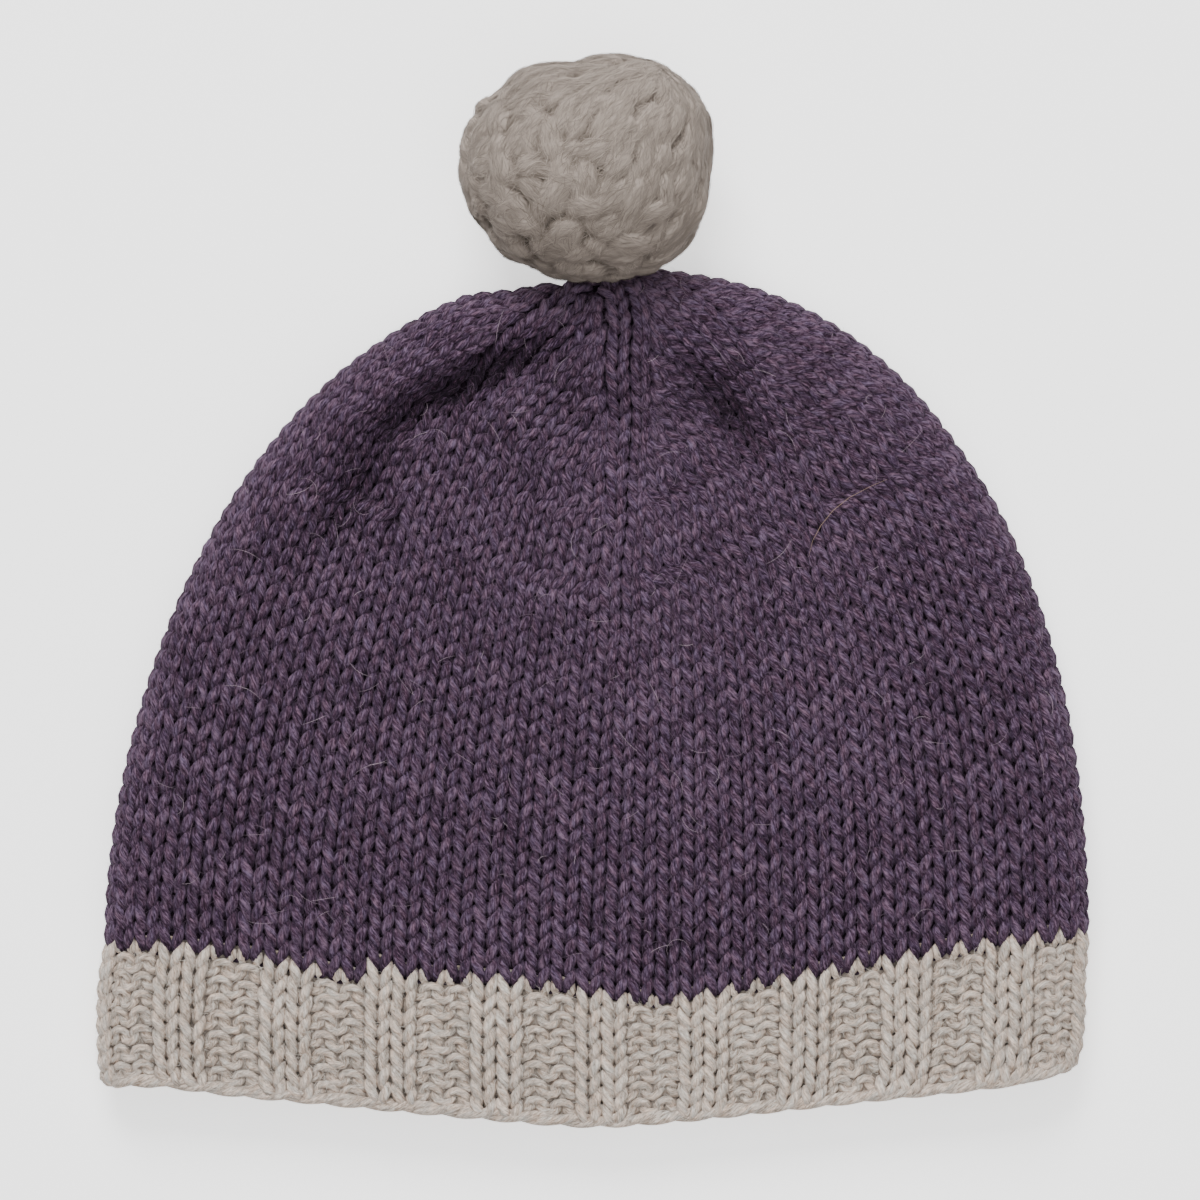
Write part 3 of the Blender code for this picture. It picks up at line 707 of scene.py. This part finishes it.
class Shading:
    """A new node material with its Principled shader, and short ways to add nodes to it."""

    def __init__(self, name, **values):
        self.material = bpy.data.materials.new(name)
        self.material.use_nodes = True
        self.nodes = self.material.node_tree.nodes
        self.links = self.material.node_tree.links
        self.shader = self.nodes["Principled BSDF"]
        for socket, value in values.items():
            self.shader.inputs[socket.replace("_", " ")].default_value = value

    def feed(self, socket, value):
        """Set a socket to a number, or link it to an output."""
        if isinstance(value, (int, float)):
            socket.default_value = value
        else:
            self.links.new(value, socket)

    def add(self, kind, **inputs):
        """A new node, with numbers or outputs for its inputs."""
        node = self.nodes.new("ShaderNode" + kind)
        for socket, value in inputs.items():
            self.feed(node.inputs[socket], value)
        return node

    def math(self, operation, *values):
        """The output of a Math node with numbers or outputs for its inputs."""
        node = self.add("Math")
        node.operation = operation
        for socket, value in zip(node.inputs, values):
            self.feed(socket, value)
        return node.outputs[0]

    def noise(self, place, scale, detail, roughness=0.5):
        """The grey output of a noise texture."""
        node = self.add("TexNoise", Scale=scale, Detail=detail, Roughness=roughness, Vector=place)
        return node.outputs["Fac"]

    def ramp(self, level, *stops):
        """Colours between stops of a level, each a place and a colour."""
        node = self.add("ValToRGB", Fac=level)
        elements = node.color_ramp.elements
        for element, (place, colour) in zip(elements, (stops[0], stops[-1])):
            element.position = place
            element.color = (*colour, 1.0)
        for place, colour in stops[1:-1]:
            elements.new(place).color = (*colour, 1.0)
        return node.outputs["Color"]

    def shade(self):
        """The shade that the mesh carries at each point."""
        node = self.add("Attribute")
        node.attribute_name = "shade"
        return node.outputs["Fac"]

    def colour(self, output):
        """Make an output the colour of the surface."""
        self.links.new(output, self.shader.inputs["Base Color"])

    def bump(self, height, distance, strength=1.0):
        """Let the light fall on the surface as if it rose with a height."""
        node = self.add("Bump", Strength=strength, Distance=distance, Height=height)
        self.links.new(node.outputs["Normal"], self.shader.inputs["Normal"])


# Plied yarn: turns to the metre, plies, and the stretch of its fibres in the noise
PLY_TURNS = -85.0
PLIES = 3.0
FIBRE_ACROSS = 1.7
FIBRE_ALONG = 560.0
FIBRE_SCALE = 1.6
# How the fibres and the yarn's shade set the level of its colour
FIBRE_LEVEL = 2.2
SHADE_SHARE = 0.5
LEVEL_START = -0.85
FLECK_SCALE = 0.55
COOL_FLECK = (0.93, 0.99, 1.05)
WARM_FLECK = (1.08, 0.99, 0.95)


def wool(name, dark, middle, light, ply_depth, sheen_tint):
    """Plied wool: strands that wind round the yarn, fine fibres along them, mottled dye, and the
    painted shade and light that the mesh's shade carries.
    """
    yarn = Shading(name, Roughness=0.9, Specular_IOR_Level=0.15, Sheen_Weight=0.18,
                   Sheen_Roughness=0.4, Sheen_Tint=(*sheen_tint, 1.0))
    place = yarn.add("UVMap")
    place.uv_map = "yarn"
    split = yarn.add("SeparateXYZ", Vector=place.outputs[0])
    along, around = split.outputs[0], split.outputs[1]
    wound = yarn.math("MULTIPLY_ADD", along, PLY_TURNS, around)
    angle = yarn.math("MULTIPLY", wound, 2.0 * math.pi)
    join = yarn.add("CombineXYZ")
    for number, operation in enumerate(("COSINE", "SINE")):
        turned = yarn.math("MULTIPLY", yarn.math(operation, angle), FIBRE_ACROSS)
        yarn.links.new(turned, join.inputs[number])
    yarn.links.new(yarn.math("MULTIPLY", along, FIBRE_ALONG), join.inputs[2])
    fibres = yarn.noise(join.outputs[0], FIBRE_SCALE, 5.0, 0.68)
    # The mesh's shade carries random tone together with painted shade and light
    level = yarn.math("MULTIPLY_ADD", yarn.shade(), SHADE_SHARE, LEVEL_START)
    level = yarn.math("MULTIPLY_ADD", fibres, FIBRE_LEVEL, level)
    dye_and_painted_shade = yarn.ramp(level, (0.18, dark), (0.5, middle), (0.86, light))
    flecks = yarn.noise(join.outputs[0], FLECK_SCALE, 2.0)
    mix = yarn.add("Mix")
    mix.data_type = "RGBA"
    mix.blend_type = "MULTIPLY"
    mix.inputs["Factor"].default_value = 1.0
    yarn.links.new(dye_and_painted_shade, mix.inputs["A"])
    yarn.links.new(yarn.ramp(flecks, (0.32, COOL_FLECK), (0.68, WARM_FLECK)), mix.inputs["B"])
    yarn.colour(mix.outputs["Result"])
    plies = yarn.math("COSINE", yarn.math("MULTIPLY", angle, PLIES))
    yarn.bump(yarn.math("MULTIPLY_ADD", plies, ply_depth, fibres), 0.0006, 0.9)
    return yarn.material


def inner_face_painted_shade(name, dark, light):
    """The cloth's inner face, seen only between the yarns and from inside the hat, darker than its
    yarn as painted shade of the gaps.
    """
    cloth_back = Shading(name, Roughness=0.95, Specular_IOR_Level=0.1)
    noise = cloth_back.noise(cloth_back.add("TexCoord").outputs["Object"], 900.0, 3.0)
    cloth_back.colour(cloth_back.ramp(noise, (0.3, dark), (0.75, light)))
    cloth_back.bump(noise, 0.0008)
    return cloth_back.material


def fibre(name, dark, light):
    """Single fibres of wool, each of one shade."""
    hair = Shading(name, Roughness=0.85, Specular_IOR_Level=0.2)
    hair.colour(hair.ramp(hair.shade(), (0.1, dark), (0.9, light)))
    return hair.material


PURPLE_FIBRE = fibre("purple_fibre", (0.035, 0.020, 0.035), (0.13, 0.09, 0.13))
GREY_FIBRE = fibre("grey_fibre", (0.30, 0.26, 0.22), (0.66, 0.61, 0.55))
POMPOM_FIBRE = fibre("pompom_fibre", (0.155, 0.127, 0.105), (0.355, 0.302, 0.260))
# The dark end of the pompom body's colours is painted shade for the crevices between its lobes
POMPOM_BODY_PAINTED_SHADE = fibre("pompom_body_painted_shade", (0.078, 0.062, 0.051), (0.28, 0.236, 0.203))
STRAY_HAIR = fibre("stray_hair", (0.16, 0.11, 0.15), (0.40, 0.32, 0.37))
GINGER_HAIR = fibre("ginger_hair", (0.20, 0.13, 0.10), (0.31, 0.22, 0.18))
PURPLE = wool("purple_wool", (0.0055, 0.0023, 0.0055), (0.0412, 0.0209, 0.0416),
              (0.155, 0.103, 0.157), 0.30, (0.30, 0.22, 0.34))
GREY = wool("grey_wool", (0.245, 0.198, 0.156), (0.50, 0.424, 0.358), (0.76, 0.674, 0.585),
            0.26, (0.6, 0.58, 0.56))
# The inner faces are darker than their yarn: painted shade for the gaps between the yarns
PURPLE_BACK_PAINTED_SHADE = inner_face_painted_shade("purple_inner_painted_shade", (0.006, 0.003, 0.006), (0.015, 0.008, 0.015))
GREY_BACK_PAINTED_SHADE = inner_face_painted_shade("grey_inner_painted_shade", (0.14, 0.117, 0.098), (0.32, 0.28, 0.245))


def place_piece(piece, material, node):
    """Dress a piece, hide the imported part that it stands for, and let it ride on the root."""
    piece.data.materials.append(material)
    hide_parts(node)
    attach(piece, "root")


# Knit of the crown and the band
def place_yarn(name, yarn, parts, material, node):
    """A long yarn in several pieces that share the ring where they meet."""
    edges = np.linspace(0, len(yarn[0]) - 1, parts + 1).astype(int)
    for number, (start, end) in enumerate(zip(edges, edges[1:]), 1):
        part = (values[None, start:end + 1] for values in yarn)
        place_piece(tube_mesh("%s_%d" % (name, number), *part, YARN_SIDES), material, node)


place_yarn("crown_knit", knit_yarn(0, CROWN_COURSES, 11), 3, PURPLE, "crown")
place_yarn("band_knit", knit_yarn(-BAND_COURSES, 0, 12), 1, GREY, "rib_band")

# The inner faces, darker than their yarn as painted shade of the gaps: places round the hat, and
# first and last course, rows and depth of each
INNER_PLACES = np.linspace(0.0, 4.0, 161)[:-1]
CROWN_INNER = np.linspace(0.0, CROWN_COURSES - 0.6, 90)
BAND_INNER = np.linspace(-BAND_COURSES - 0.3, -0.02, 26)
place_piece(grid_mesh("crown_inner_face", INNER_PLACES, CROWN_INNER, 0.0026), PURPLE_BACK_PAINTED_SHADE, "crown")
place_piece(grid_mesh("band_inner_face", INNER_PLACES, BAND_INNER, 0.0030), GREY_BACK_PAINTED_SHADE, "rib_band")

# Stray fibres over the knit. Half of those on the layer that lies below are moved to the upper one
UNSEEN_MOVED = 0.5
FIBRE_BEND = 0.8
FIBRE_SETTLE = 0.03
FIBRE_LIFT = (-0.0005, 0.0002)
FIBRE_RISE = 0.0005
FIBRE_SHADE_SPREAD = 0.25
FLOOR_CLEARANCE = 0.0002

# Between two courses: half lengths in metres, and the spread of their directions in radians
Fuzz = namedtuple("Fuzz", "name count joints first last seed half_length swing width material node")
FUZZ = [
    Fuzz("crown_fuzz", 16500, 4, -0.4, 43.0, 41, (0.0005, 0.0018), 1.0, 0.00006, PURPLE_FIBRE,
         "crown"),
    Fuzz("crown_hairs", 300, 8, 1.0, 42.0, 43, (0.0012, 0.0048), 1.3, 0.00006, STRAY_HAIR, "crown"),
    Fuzz("band_fuzz", 5000, 4, -8.3, -0.9, 42, (0.0006, 0.0019), 0.9, 0.00007, GREY_FIBRE,
         "rib_band"),
]


def stray_fibres(fuzz):
    """Curved fibres that lie over the knit between two courses and stand a little proud of it."""
    draw = np.random.default_rng(fuzz.seed)
    count = fuzz.count
    around = draw.uniform(0.0, 4.0, count)
    unseen = (around > 2.0) & (draw.uniform(0.0, 1.0, count) < UNSEEN_MOVED)
    around = np.where(unseen, around - 2.0, around)
    levels = np.linspace(fuzz.first, fuzz.last, 200)
    wide = np.cumsum((levels[:, None] < ENDS).sum(axis=1))
    climbed = np.mod(JOG_COLUMN - around * QUARTER, COLUMNS) / COLUMNS
    course = np.interp(draw.uniform(0.0, 1.0, count), wide / wide[-1], levels) + climbed
    spots, normals, high = cloth_frame(around, course)
    side = np.cross(high, normals)
    share = np.linspace(-1.0, 1.0, fuzz.joints)
    half = draw.uniform(*fuzz.half_length, count)[:, None]
    angle = draw.normal(0.0, fuzz.swing, count)[:, None]
    angle = angle + draw.normal(0.0, FIBRE_BEND, count)[:, None] * share
    step = half * (share[1] - share[0])
    across = np.cumsum(np.sin(angle) * step, axis=1)
    along = np.cumsum(np.cos(angle) * step, axis=1)
    across = across - across.mean(1, keepdims=True)
    along = along - along.mean(1, keepdims=True)
    lift = draw.uniform(*FIBRE_LIFT, count)[:, None]
    lift = lift + draw.uniform(0.0, FIBRE_RISE, count)[:, None] * share
    lift = lift - (across * across + along * along) / FIBRE_SETTLE
    lines = (spots[:, None] + side[:, None] * across[..., None] + high[:, None] * along[..., None]
             + normals[:, None] * lift[..., None])
    lines[..., 2] = np.maximum(lines[..., 2], FLOOR_CLEARANCE)
    ups = np.broadcast_to(normals[:, None], lines.shape)
    shade = np.clip(draw.normal(0.5, FIBRE_SHADE_SPREAD, count), 0.0, 1.0)
    place_piece(ribbon_mesh(fuzz.name, lines, ups, fuzz.width, shade), fuzz.material, fuzz.node)


for fuzz in FUZZ:
    stray_fibres(fuzz)

# One long hair at the upper right: x and y of places on the upper layer
LONG_HAIR = [
    (0.067162, 0.025693), (0.061979, 0.023439), (0.057246, 0.020960), (0.053640, 0.018030),
    (0.050935, 0.014650), (0.049132, 0.011269), (0.048231, 0.007663),
]
HAIR_POINTS = 25
HAIR_LIFT = 0.0003
HAIR_WIDTH = 0.00011


def on_cloth(x, y):
    """The nearest place of the upper layer under each point, and its outward normal."""
    around, course = np.linspace(0.3, 1.7, 160), np.linspace(1.0, 42.0, 160)
    spots, normals, _ = cloth_frame(*np.meshgrid(around, course))
    spots, normals = spots.reshape(-1, 3), normals.reshape(-1, 3)
    near = [np.hypot(spots[:, 0] - a, spots[:, 1] - b).argmin() for a, b in zip(x, y)]
    return spots[near], normals[near]


def long_hair():
    """A thin fibre that lies along the listed places."""
    listed = np.array(LONG_HAIR)
    places = np.linspace(0.0, len(listed) - 1.0, HAIR_POINTS)
    x, y = (np.interp(places, np.arange(len(listed)), column) for column in listed.T)
    spots, normals = on_cloth(x, y)
    line = np.stack([x, y, spots[:, 2] + HAIR_LIFT], -1)
    return ribbon_mesh("long_hair", line[None], normals[None], HAIR_WIDTH, np.array([0.5]))


place_piece(long_hair(), GINGER_HAIR, "crown")


# Strands laid round each other, with their sides
CORD_SIDES = 7


def twisted_pair(name, middle, one, two, ups, turns, reach, radius):
    """Two strands wound round a middle line, in the plane of two directions at each point."""
    turn = np.linspace(0.0, 2.0 * math.pi * turns, len(middle)) + [[0.0], [math.pi]]
    points = middle + reach * (np.cos(turn)[..., None] * one + np.sin(turn)[..., None] * two)
    even = np.ones(points.shape[:2])
    return tube_mesh(
        name, points, np.broadcast_to(ups, points.shape), radius * even, 0.5 * even, CORD_SIDES)


# Cast-on edge
EDGE_RADIUS = 0.00112
EDGE_REACH = 0.00062
EDGE_TURNS = 26.0
EDGE_SINK = 0.0002
EDGE_COURSE = -BAND_COURSES - 0.35
EDGE_POINTS = COLUMNS * 10 + 1


def cast_on_edge():
    """The rolled edge: two strands of yarn wound round each other along the hem."""
    around = np.linspace(0.0, 4.0, EDGE_POINTS)
    points, normals, high = cloth_frame(around, np.full_like(around, EDGE_COURSE))
    middle = points - normals * (EDGE_RADIUS + EDGE_REACH + EDGE_SINK)
    return twisted_pair(
        "cast_on_edge", middle, normals, high, normals, EDGE_TURNS, EDGE_REACH, EDGE_RADIUS)


place_piece(cast_on_edge(), GREY, "rib_band")

# Pompom: its middle, its half height, and how far it reaches from its middle, by degrees
POMPOM_MIDDLE = np.array([-0.0013, 0.0948, 0.0245])
HEAD_HALF_HEIGHT = 0.0240
HEAD_OUTLINE = [
    (-177, 0.0285), (-169, 0.0288), (-152, 0.0273), (-128, 0.0265), (-102, 0.0256), (-80, 0.0257),
    (-58, 0.0278), (-29, 0.0288), (-4, 0.0276), (15, 0.0285), (27, 0.0297), (51, 0.0283),
    (72, 0.0259), (98, 0.0233), (124, 0.0264), (142, 0.0265), (164, 0.0283), (183, 0.0284),
]
HEAD_SUBDIVISIONS = 7
HEAD_SMOOTHING = 0.5

# Lobes. Their sizes are shares of the head's half sizes, and their surface starts at LOBE_SURFACE
LOBE_COUNT = 470
LOBE_SCATTER = 0.05
LOBE_SURFACE = 0.930
LOBE_RELIEF = 0.07
LOBE_LEVEL = 0.966
LOBE_LEVEL_SPREAD = 0.011
LOBE_LENGTHS = (0.15, 0.26)
LOBE_WIDTHS = (0.065, 0.108)
LOBE_RISES = (0.060, 0.085)
LOBE_TILTS = (0.004, 0.020)
LOBE_BATCH = 8000
NEAR_LOBE = 0.5
# How far the lobes follow the comb, stray from it, and what their sizes are multiplied by
Lie = namedtuple("Lie", "combed stray long wide rise")
TIGHT = Lie(1.0, 0.22, 1.0, 1.0, 0.8)
LOOSE = Lie(0.45, 0.55, 0.84, 1.50, 1.2)
COMB = unit(np.array([0.60, 0.76, 0.20]))
TIGHT_SIDE = unit(np.array([0.75, 0.62, -0.2]))
LOOSE_START = 0.25
LOOSE_SPAN = 0.8
# Painted light that lessens the crevices' painted shade on the tight side
TIGHT_PAINTED_LIGHT = 0.50

# Fibres over the lobes, in shares of the head's half sizes, and their width in metres
POMPOM_FIBRES = 26000
TUFT_POINTS = 4
TUFT_WIDTH = 0.00014
TUFT_SCATTER = 0.02
TUFT_STRAY = 0.30
TUFT_LENGTHS = (0.07, 0.20)
TUFT_BEND = 0.35
TUFT_EVENED = 0.35
TUFT_LIFT = (-0.004, 0.008)
TUFT_RISE = 0.012
TUFT_SHADE_SPREAD = 0.20
# Painted shade on fibres that lie low in the crevices on the loose side
CREVICE_PAINTED_SHADE = 0.60
POMPOM_CLEARANCE = 0.0003


def head_points(directions, share):
    """Points at a share of the pompom's outer form, in unit directions from its middle."""
    degrees = np.degrees(np.arctan2(directions[..., 1], directions[..., 0]))
    wide = read_rows(HEAD_OUTLINE, degrees)[0]
    flat = np.hypot(directions[..., 0], directions[..., 1])
    reach = 1.0 / np.sqrt((flat / wide) ** 2 + (directions[..., 2] / HEAD_HALF_HEIGHT) ** 2)
    return POMPOM_MIDDLE + directions * (reach * share)[..., None]


def even_directions(count):
    """Directions spread evenly over a ball."""
    index = np.arange(count)
    level = 1.0 - 2.0 * (index + 0.5) / count
    around = index * math.pi * (3.0 - math.sqrt(5.0))
    flat = np.sqrt(1.0 - level * level)
    return np.stack([np.cos(around) * flat, np.sin(around) * flat, level], -1)


def looseness(directions):
    """How loose the pompom's lobes are: 0 at the upper right to 1 at the lower left."""
    return ease((LOOSE_START - directions @ TIGHT_SIDE) / LOOSE_SPAN)


Lobes = namedtuple("Lobes", "middle along beside half_long half_wide level rise tilt")


def make_lobes(count, seed):
    """The soft lobes of yarn ends: swept up to the right, and rounder at the lower left."""
    draw = np.random.default_rng(seed)
    middle = unit(even_directions(count) + draw.normal(0.0, LOBE_SCATTER, (count, 3)))
    loose = looseness(middle)
    lie = Lie(*(between(tight, free, loose) for tight, free in zip(TIGHT, LOOSE)))
    along = unit(COMB - middle * (middle @ COMB)[:, None]) * lie.combed[:, None]
    along = along + draw.normal(0.0, 1.0, (count, 3)) * lie.stray[:, None]
    along = unit(along - middle * np.sum(along * middle, axis=1, keepdims=True))
    half_long = draw.uniform(*LOBE_LENGTHS, count) * lie.long
    half_wide = draw.uniform(*LOBE_WIDTHS, count) * lie.wide
    rise = draw.uniform(*LOBE_RISES, count) * lie.rise
    level = draw.normal(LOBE_LEVEL, LOBE_LEVEL_SPREAD, count)
    tilt = draw.uniform(*LOBE_TILTS, count)
    return Lobes(middle, along, np.cross(middle, along), half_long, half_wide, level, rise, tilt)


def lobe_surface(lobes, directions):
    """How far out the lobes reach in each direction, and which lobe lies outermost there."""
    reach = np.empty(len(directions))
    owner = np.empty(len(directions), dtype=int)
    for start in range(0, len(directions), LOBE_BATCH):
        batch = slice(start, start + LOBE_BATCH)
        part = directions[batch]
        u = part @ lobes.along.T / lobes.half_long
        v = part @ lobes.beside.T / lobes.half_wide
        spread = u * u + v * v
        dome = np.sqrt(np.clip(1.0 - spread, 0.0, 1.0))
        height = lobes.level - 0.5 * lobes.rise + lobes.rise * dome + lobes.tilt * u
        height = np.where((spread < 1.0) & (part @ lobes.middle.T > NEAR_LOBE), height, 0.0)
        owner[batch] = height.argmax(axis=1)
        reach[batch] = np.maximum(height[np.arange(len(part)), owner[batch]], LOBE_SURFACE)
    return reach, owner


def pompom_lobes(lobes):
    """The pompom's body, a closed ball raised into its lobes."""
    shape = bmesh.new()
    shape.loops.layers.uv.new(BAKE_MAP)
    bmesh.ops.create_icosphere(shape, subdivisions=HEAD_SUBDIVISIONS, radius=1.0, calc_uvs=True)
    directions = unit(np.array([vert.co for vert in shape.verts]))
    reach, _ = lobe_surface(lobes, directions)
    for vert, point in zip(shape.verts, head_points(directions, reach)):
        vert.co = point
    bmesh.ops.smooth_vert(shape, verts=shape.verts, factor=HEAD_SMOOTHING, use_axis_x=True,
                          use_axis_y=True, use_axis_z=True)
    mesh = bpy.data.meshes.new("pompom_lobes")
    shape.to_mesh(mesh)
    shape.free()
    # Painted shade that darkens the crevices between the lobes, lessened by painted light on the
    # tight side
    raised = (reach - LOBE_SURFACE) / LOBE_RELIEF + TIGHT_PAINTED_LIGHT * (1.0 - looseness(directions))
    add_shades(mesh, np.clip(raised, 0.0, 1.0))
    return smooth_piece("pompom_lobes", mesh)


def pompom_fibres(lobes, count, seed):
    """Fine fibres that lie along the lobes and stand a little proud of them."""
    draw = np.random.default_rng(seed)
    start = unit(even_directions(count) + draw.normal(0.0, TUFT_SCATTER, (count, 3)))
    _, owner = lobe_surface(lobes, start)
    along = lobes.along[owner] + draw.normal(0.0, TUFT_STRAY, (count, 3))
    along = unit(along - start * np.sum(along * start, axis=1, keepdims=True))
    beside = np.cross(start, along)
    share = np.linspace(-0.5, 0.5, TUFT_POINTS)
    length = draw.uniform(*TUFT_LENGTHS, count)[:, None, None]
    bend = draw.normal(0.0, TUFT_BEND, count)[:, None, None] * share[:, None] ** 2
    step = (along[:, None] * share[:, None] + beside[:, None] * bend) * length
    lines = unit(start[:, None] + step)
    reach, _ = lobe_surface(lobes, lines.reshape(-1, 3))
    reach = reach.reshape(count, TUFT_POINTS)
    reach = between(reach, reach.mean(axis=1, keepdims=True), TUFT_EVENED)
    lift = draw.uniform(*TUFT_LIFT, count)[:, None]
    lift = lift + draw.uniform(0.0, TUFT_RISE, count)[:, None] * (share + 0.5)
    points = head_points(lines, reach + lift)
    points[..., 2] = np.maximum(points[..., 2], POMPOM_CLEARANCE)
    # Painted shade on the fibres that lie low in the crevices on the loose side
    shaded_depth = 1.0 - np.clip((reach.mean(axis=1) - LOBE_SURFACE) / LOBE_RELIEF, 0.0, 1.0)
    shade = draw.normal(0.5, TUFT_SHADE_SPREAD, count)
    shade = np.clip(shade - CREVICE_PAINTED_SHADE * shaded_depth * looseness(start), 0.0, 1.0)
    return ribbon_mesh("pompom_fibres", points, lines, TUFT_WIDTH, shade)


lobes = make_lobes(LOBE_COUNT, 21)
place_piece(pompom_lobes(lobes), POMPOM_BODY_PAINTED_SHADE, "pompom")
place_piece(pompom_fibres(lobes, POMPOM_FIBRES, 31), POMPOM_FIBRE, "pompom")

# Strands of the tie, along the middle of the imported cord
TIE_RADIUS = 0.0006
TIE_TURNS = 3.0
TIE_POINTS = 24
TIE_INSET = 0.001


def tie_strands():
    """The two strands that tie the pompom on."""
    low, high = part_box("pompom_tie")
    middle = np.stack([np.full(TIE_POINTS, (low[0] + high[0]) / 2.0),
                       np.linspace(low[1] + TIE_INSET, high[1], TIE_POINTS),
                       np.full(TIE_POINTS, (low[2] + high[2]) / 2.0)], -1)
    right, up = np.eye(3)[[0, 2]]
    return twisted_pair("tie_strands", middle, right, up, up, TIE_TURNS, TIE_RADIUS, TIE_RADIUS)


place_piece(tie_strands(), GREY, "pompom_tie")


# Stage, lights and camera
FLOOR_REACH = 3.0
FLOOR_GLOW = 1.1
WORLD_LIGHT = 0.32
WHITE = (1.0, 1.0, 1.0, 1.0)

# Soft square lights that face the origin
Lamp = namedtuple("Lamp", "name place size power")
LAMPS = [
    Lamp("key", (-0.30, 1.60, 1.58), 1.10, 68.0),
    Lamp("overhead", (0.0, 0.0, 1.5), 1.4, 15.0),
    Lamp("fill", (0.5, -0.7, 0.9), 1.0, 4.0),
]

# The camera looks straight down. It sees a square of VIEW_SPAN at SCALE_HEIGHT over the floor
VIEW_SPAN = 0.2705
VIEW_PLACE = (0.0014, -0.0020, 1.30)
SCALE_HEIGHT = 0.010
SENSOR = 36.0


def square_floor(name):
    """A pale floor that glows a little, so that it shows light round the hat."""
    mesh = bpy.data.meshes.new(name)
    square = (-1, -1), (1, -1), (1, 1), (-1, 1)
    corners = [(x * FLOOR_REACH, y * FLOOR_REACH, 0.0) for x, y in square]
    mesh.from_pydata(corners, [], [(0, 1, 2, 3)])
    paint = Shading("pale_floor", Base_Color=(0.95, 0.95, 0.95, 1.0), Emission_Color=WHITE,
                    Emission_Strength=FLOOR_GLOW, Roughness=0.95)
    mesh.materials.append(paint.material)
    return place_object(name, mesh)


square_floor("floor")
for lamp in LAMPS:
    light = bpy.data.lights.new(lamp.name, "AREA")
    light.shape = "SQUARE"
    light.size = lamp.size
    light.energy = lamp.power
    facing = (Vector() - Vector(lamp.place)).to_track_quat("-Z", "Y")
    place_object(lamp.name, light, lamp.place).rotation_euler = facing.to_euler()

world = bpy.data.worlds.new("studio")
world.use_nodes = True
background = world.node_tree.nodes["Background"]
background.inputs["Color"].default_value = WHITE
background.inputs["Strength"].default_value = WORLD_LIGHT
bpy.context.scene.world = world

camera_data = bpy.data.cameras.new("camera")
camera_data.sensor_width = SENSOR
camera_data.lens = SENSOR * (VIEW_PLACE[2] - SCALE_HEIGHT) / VIEW_SPAN
bpy.context.scene.camera = place_object("camera", camera_data, VIEW_PLACE)
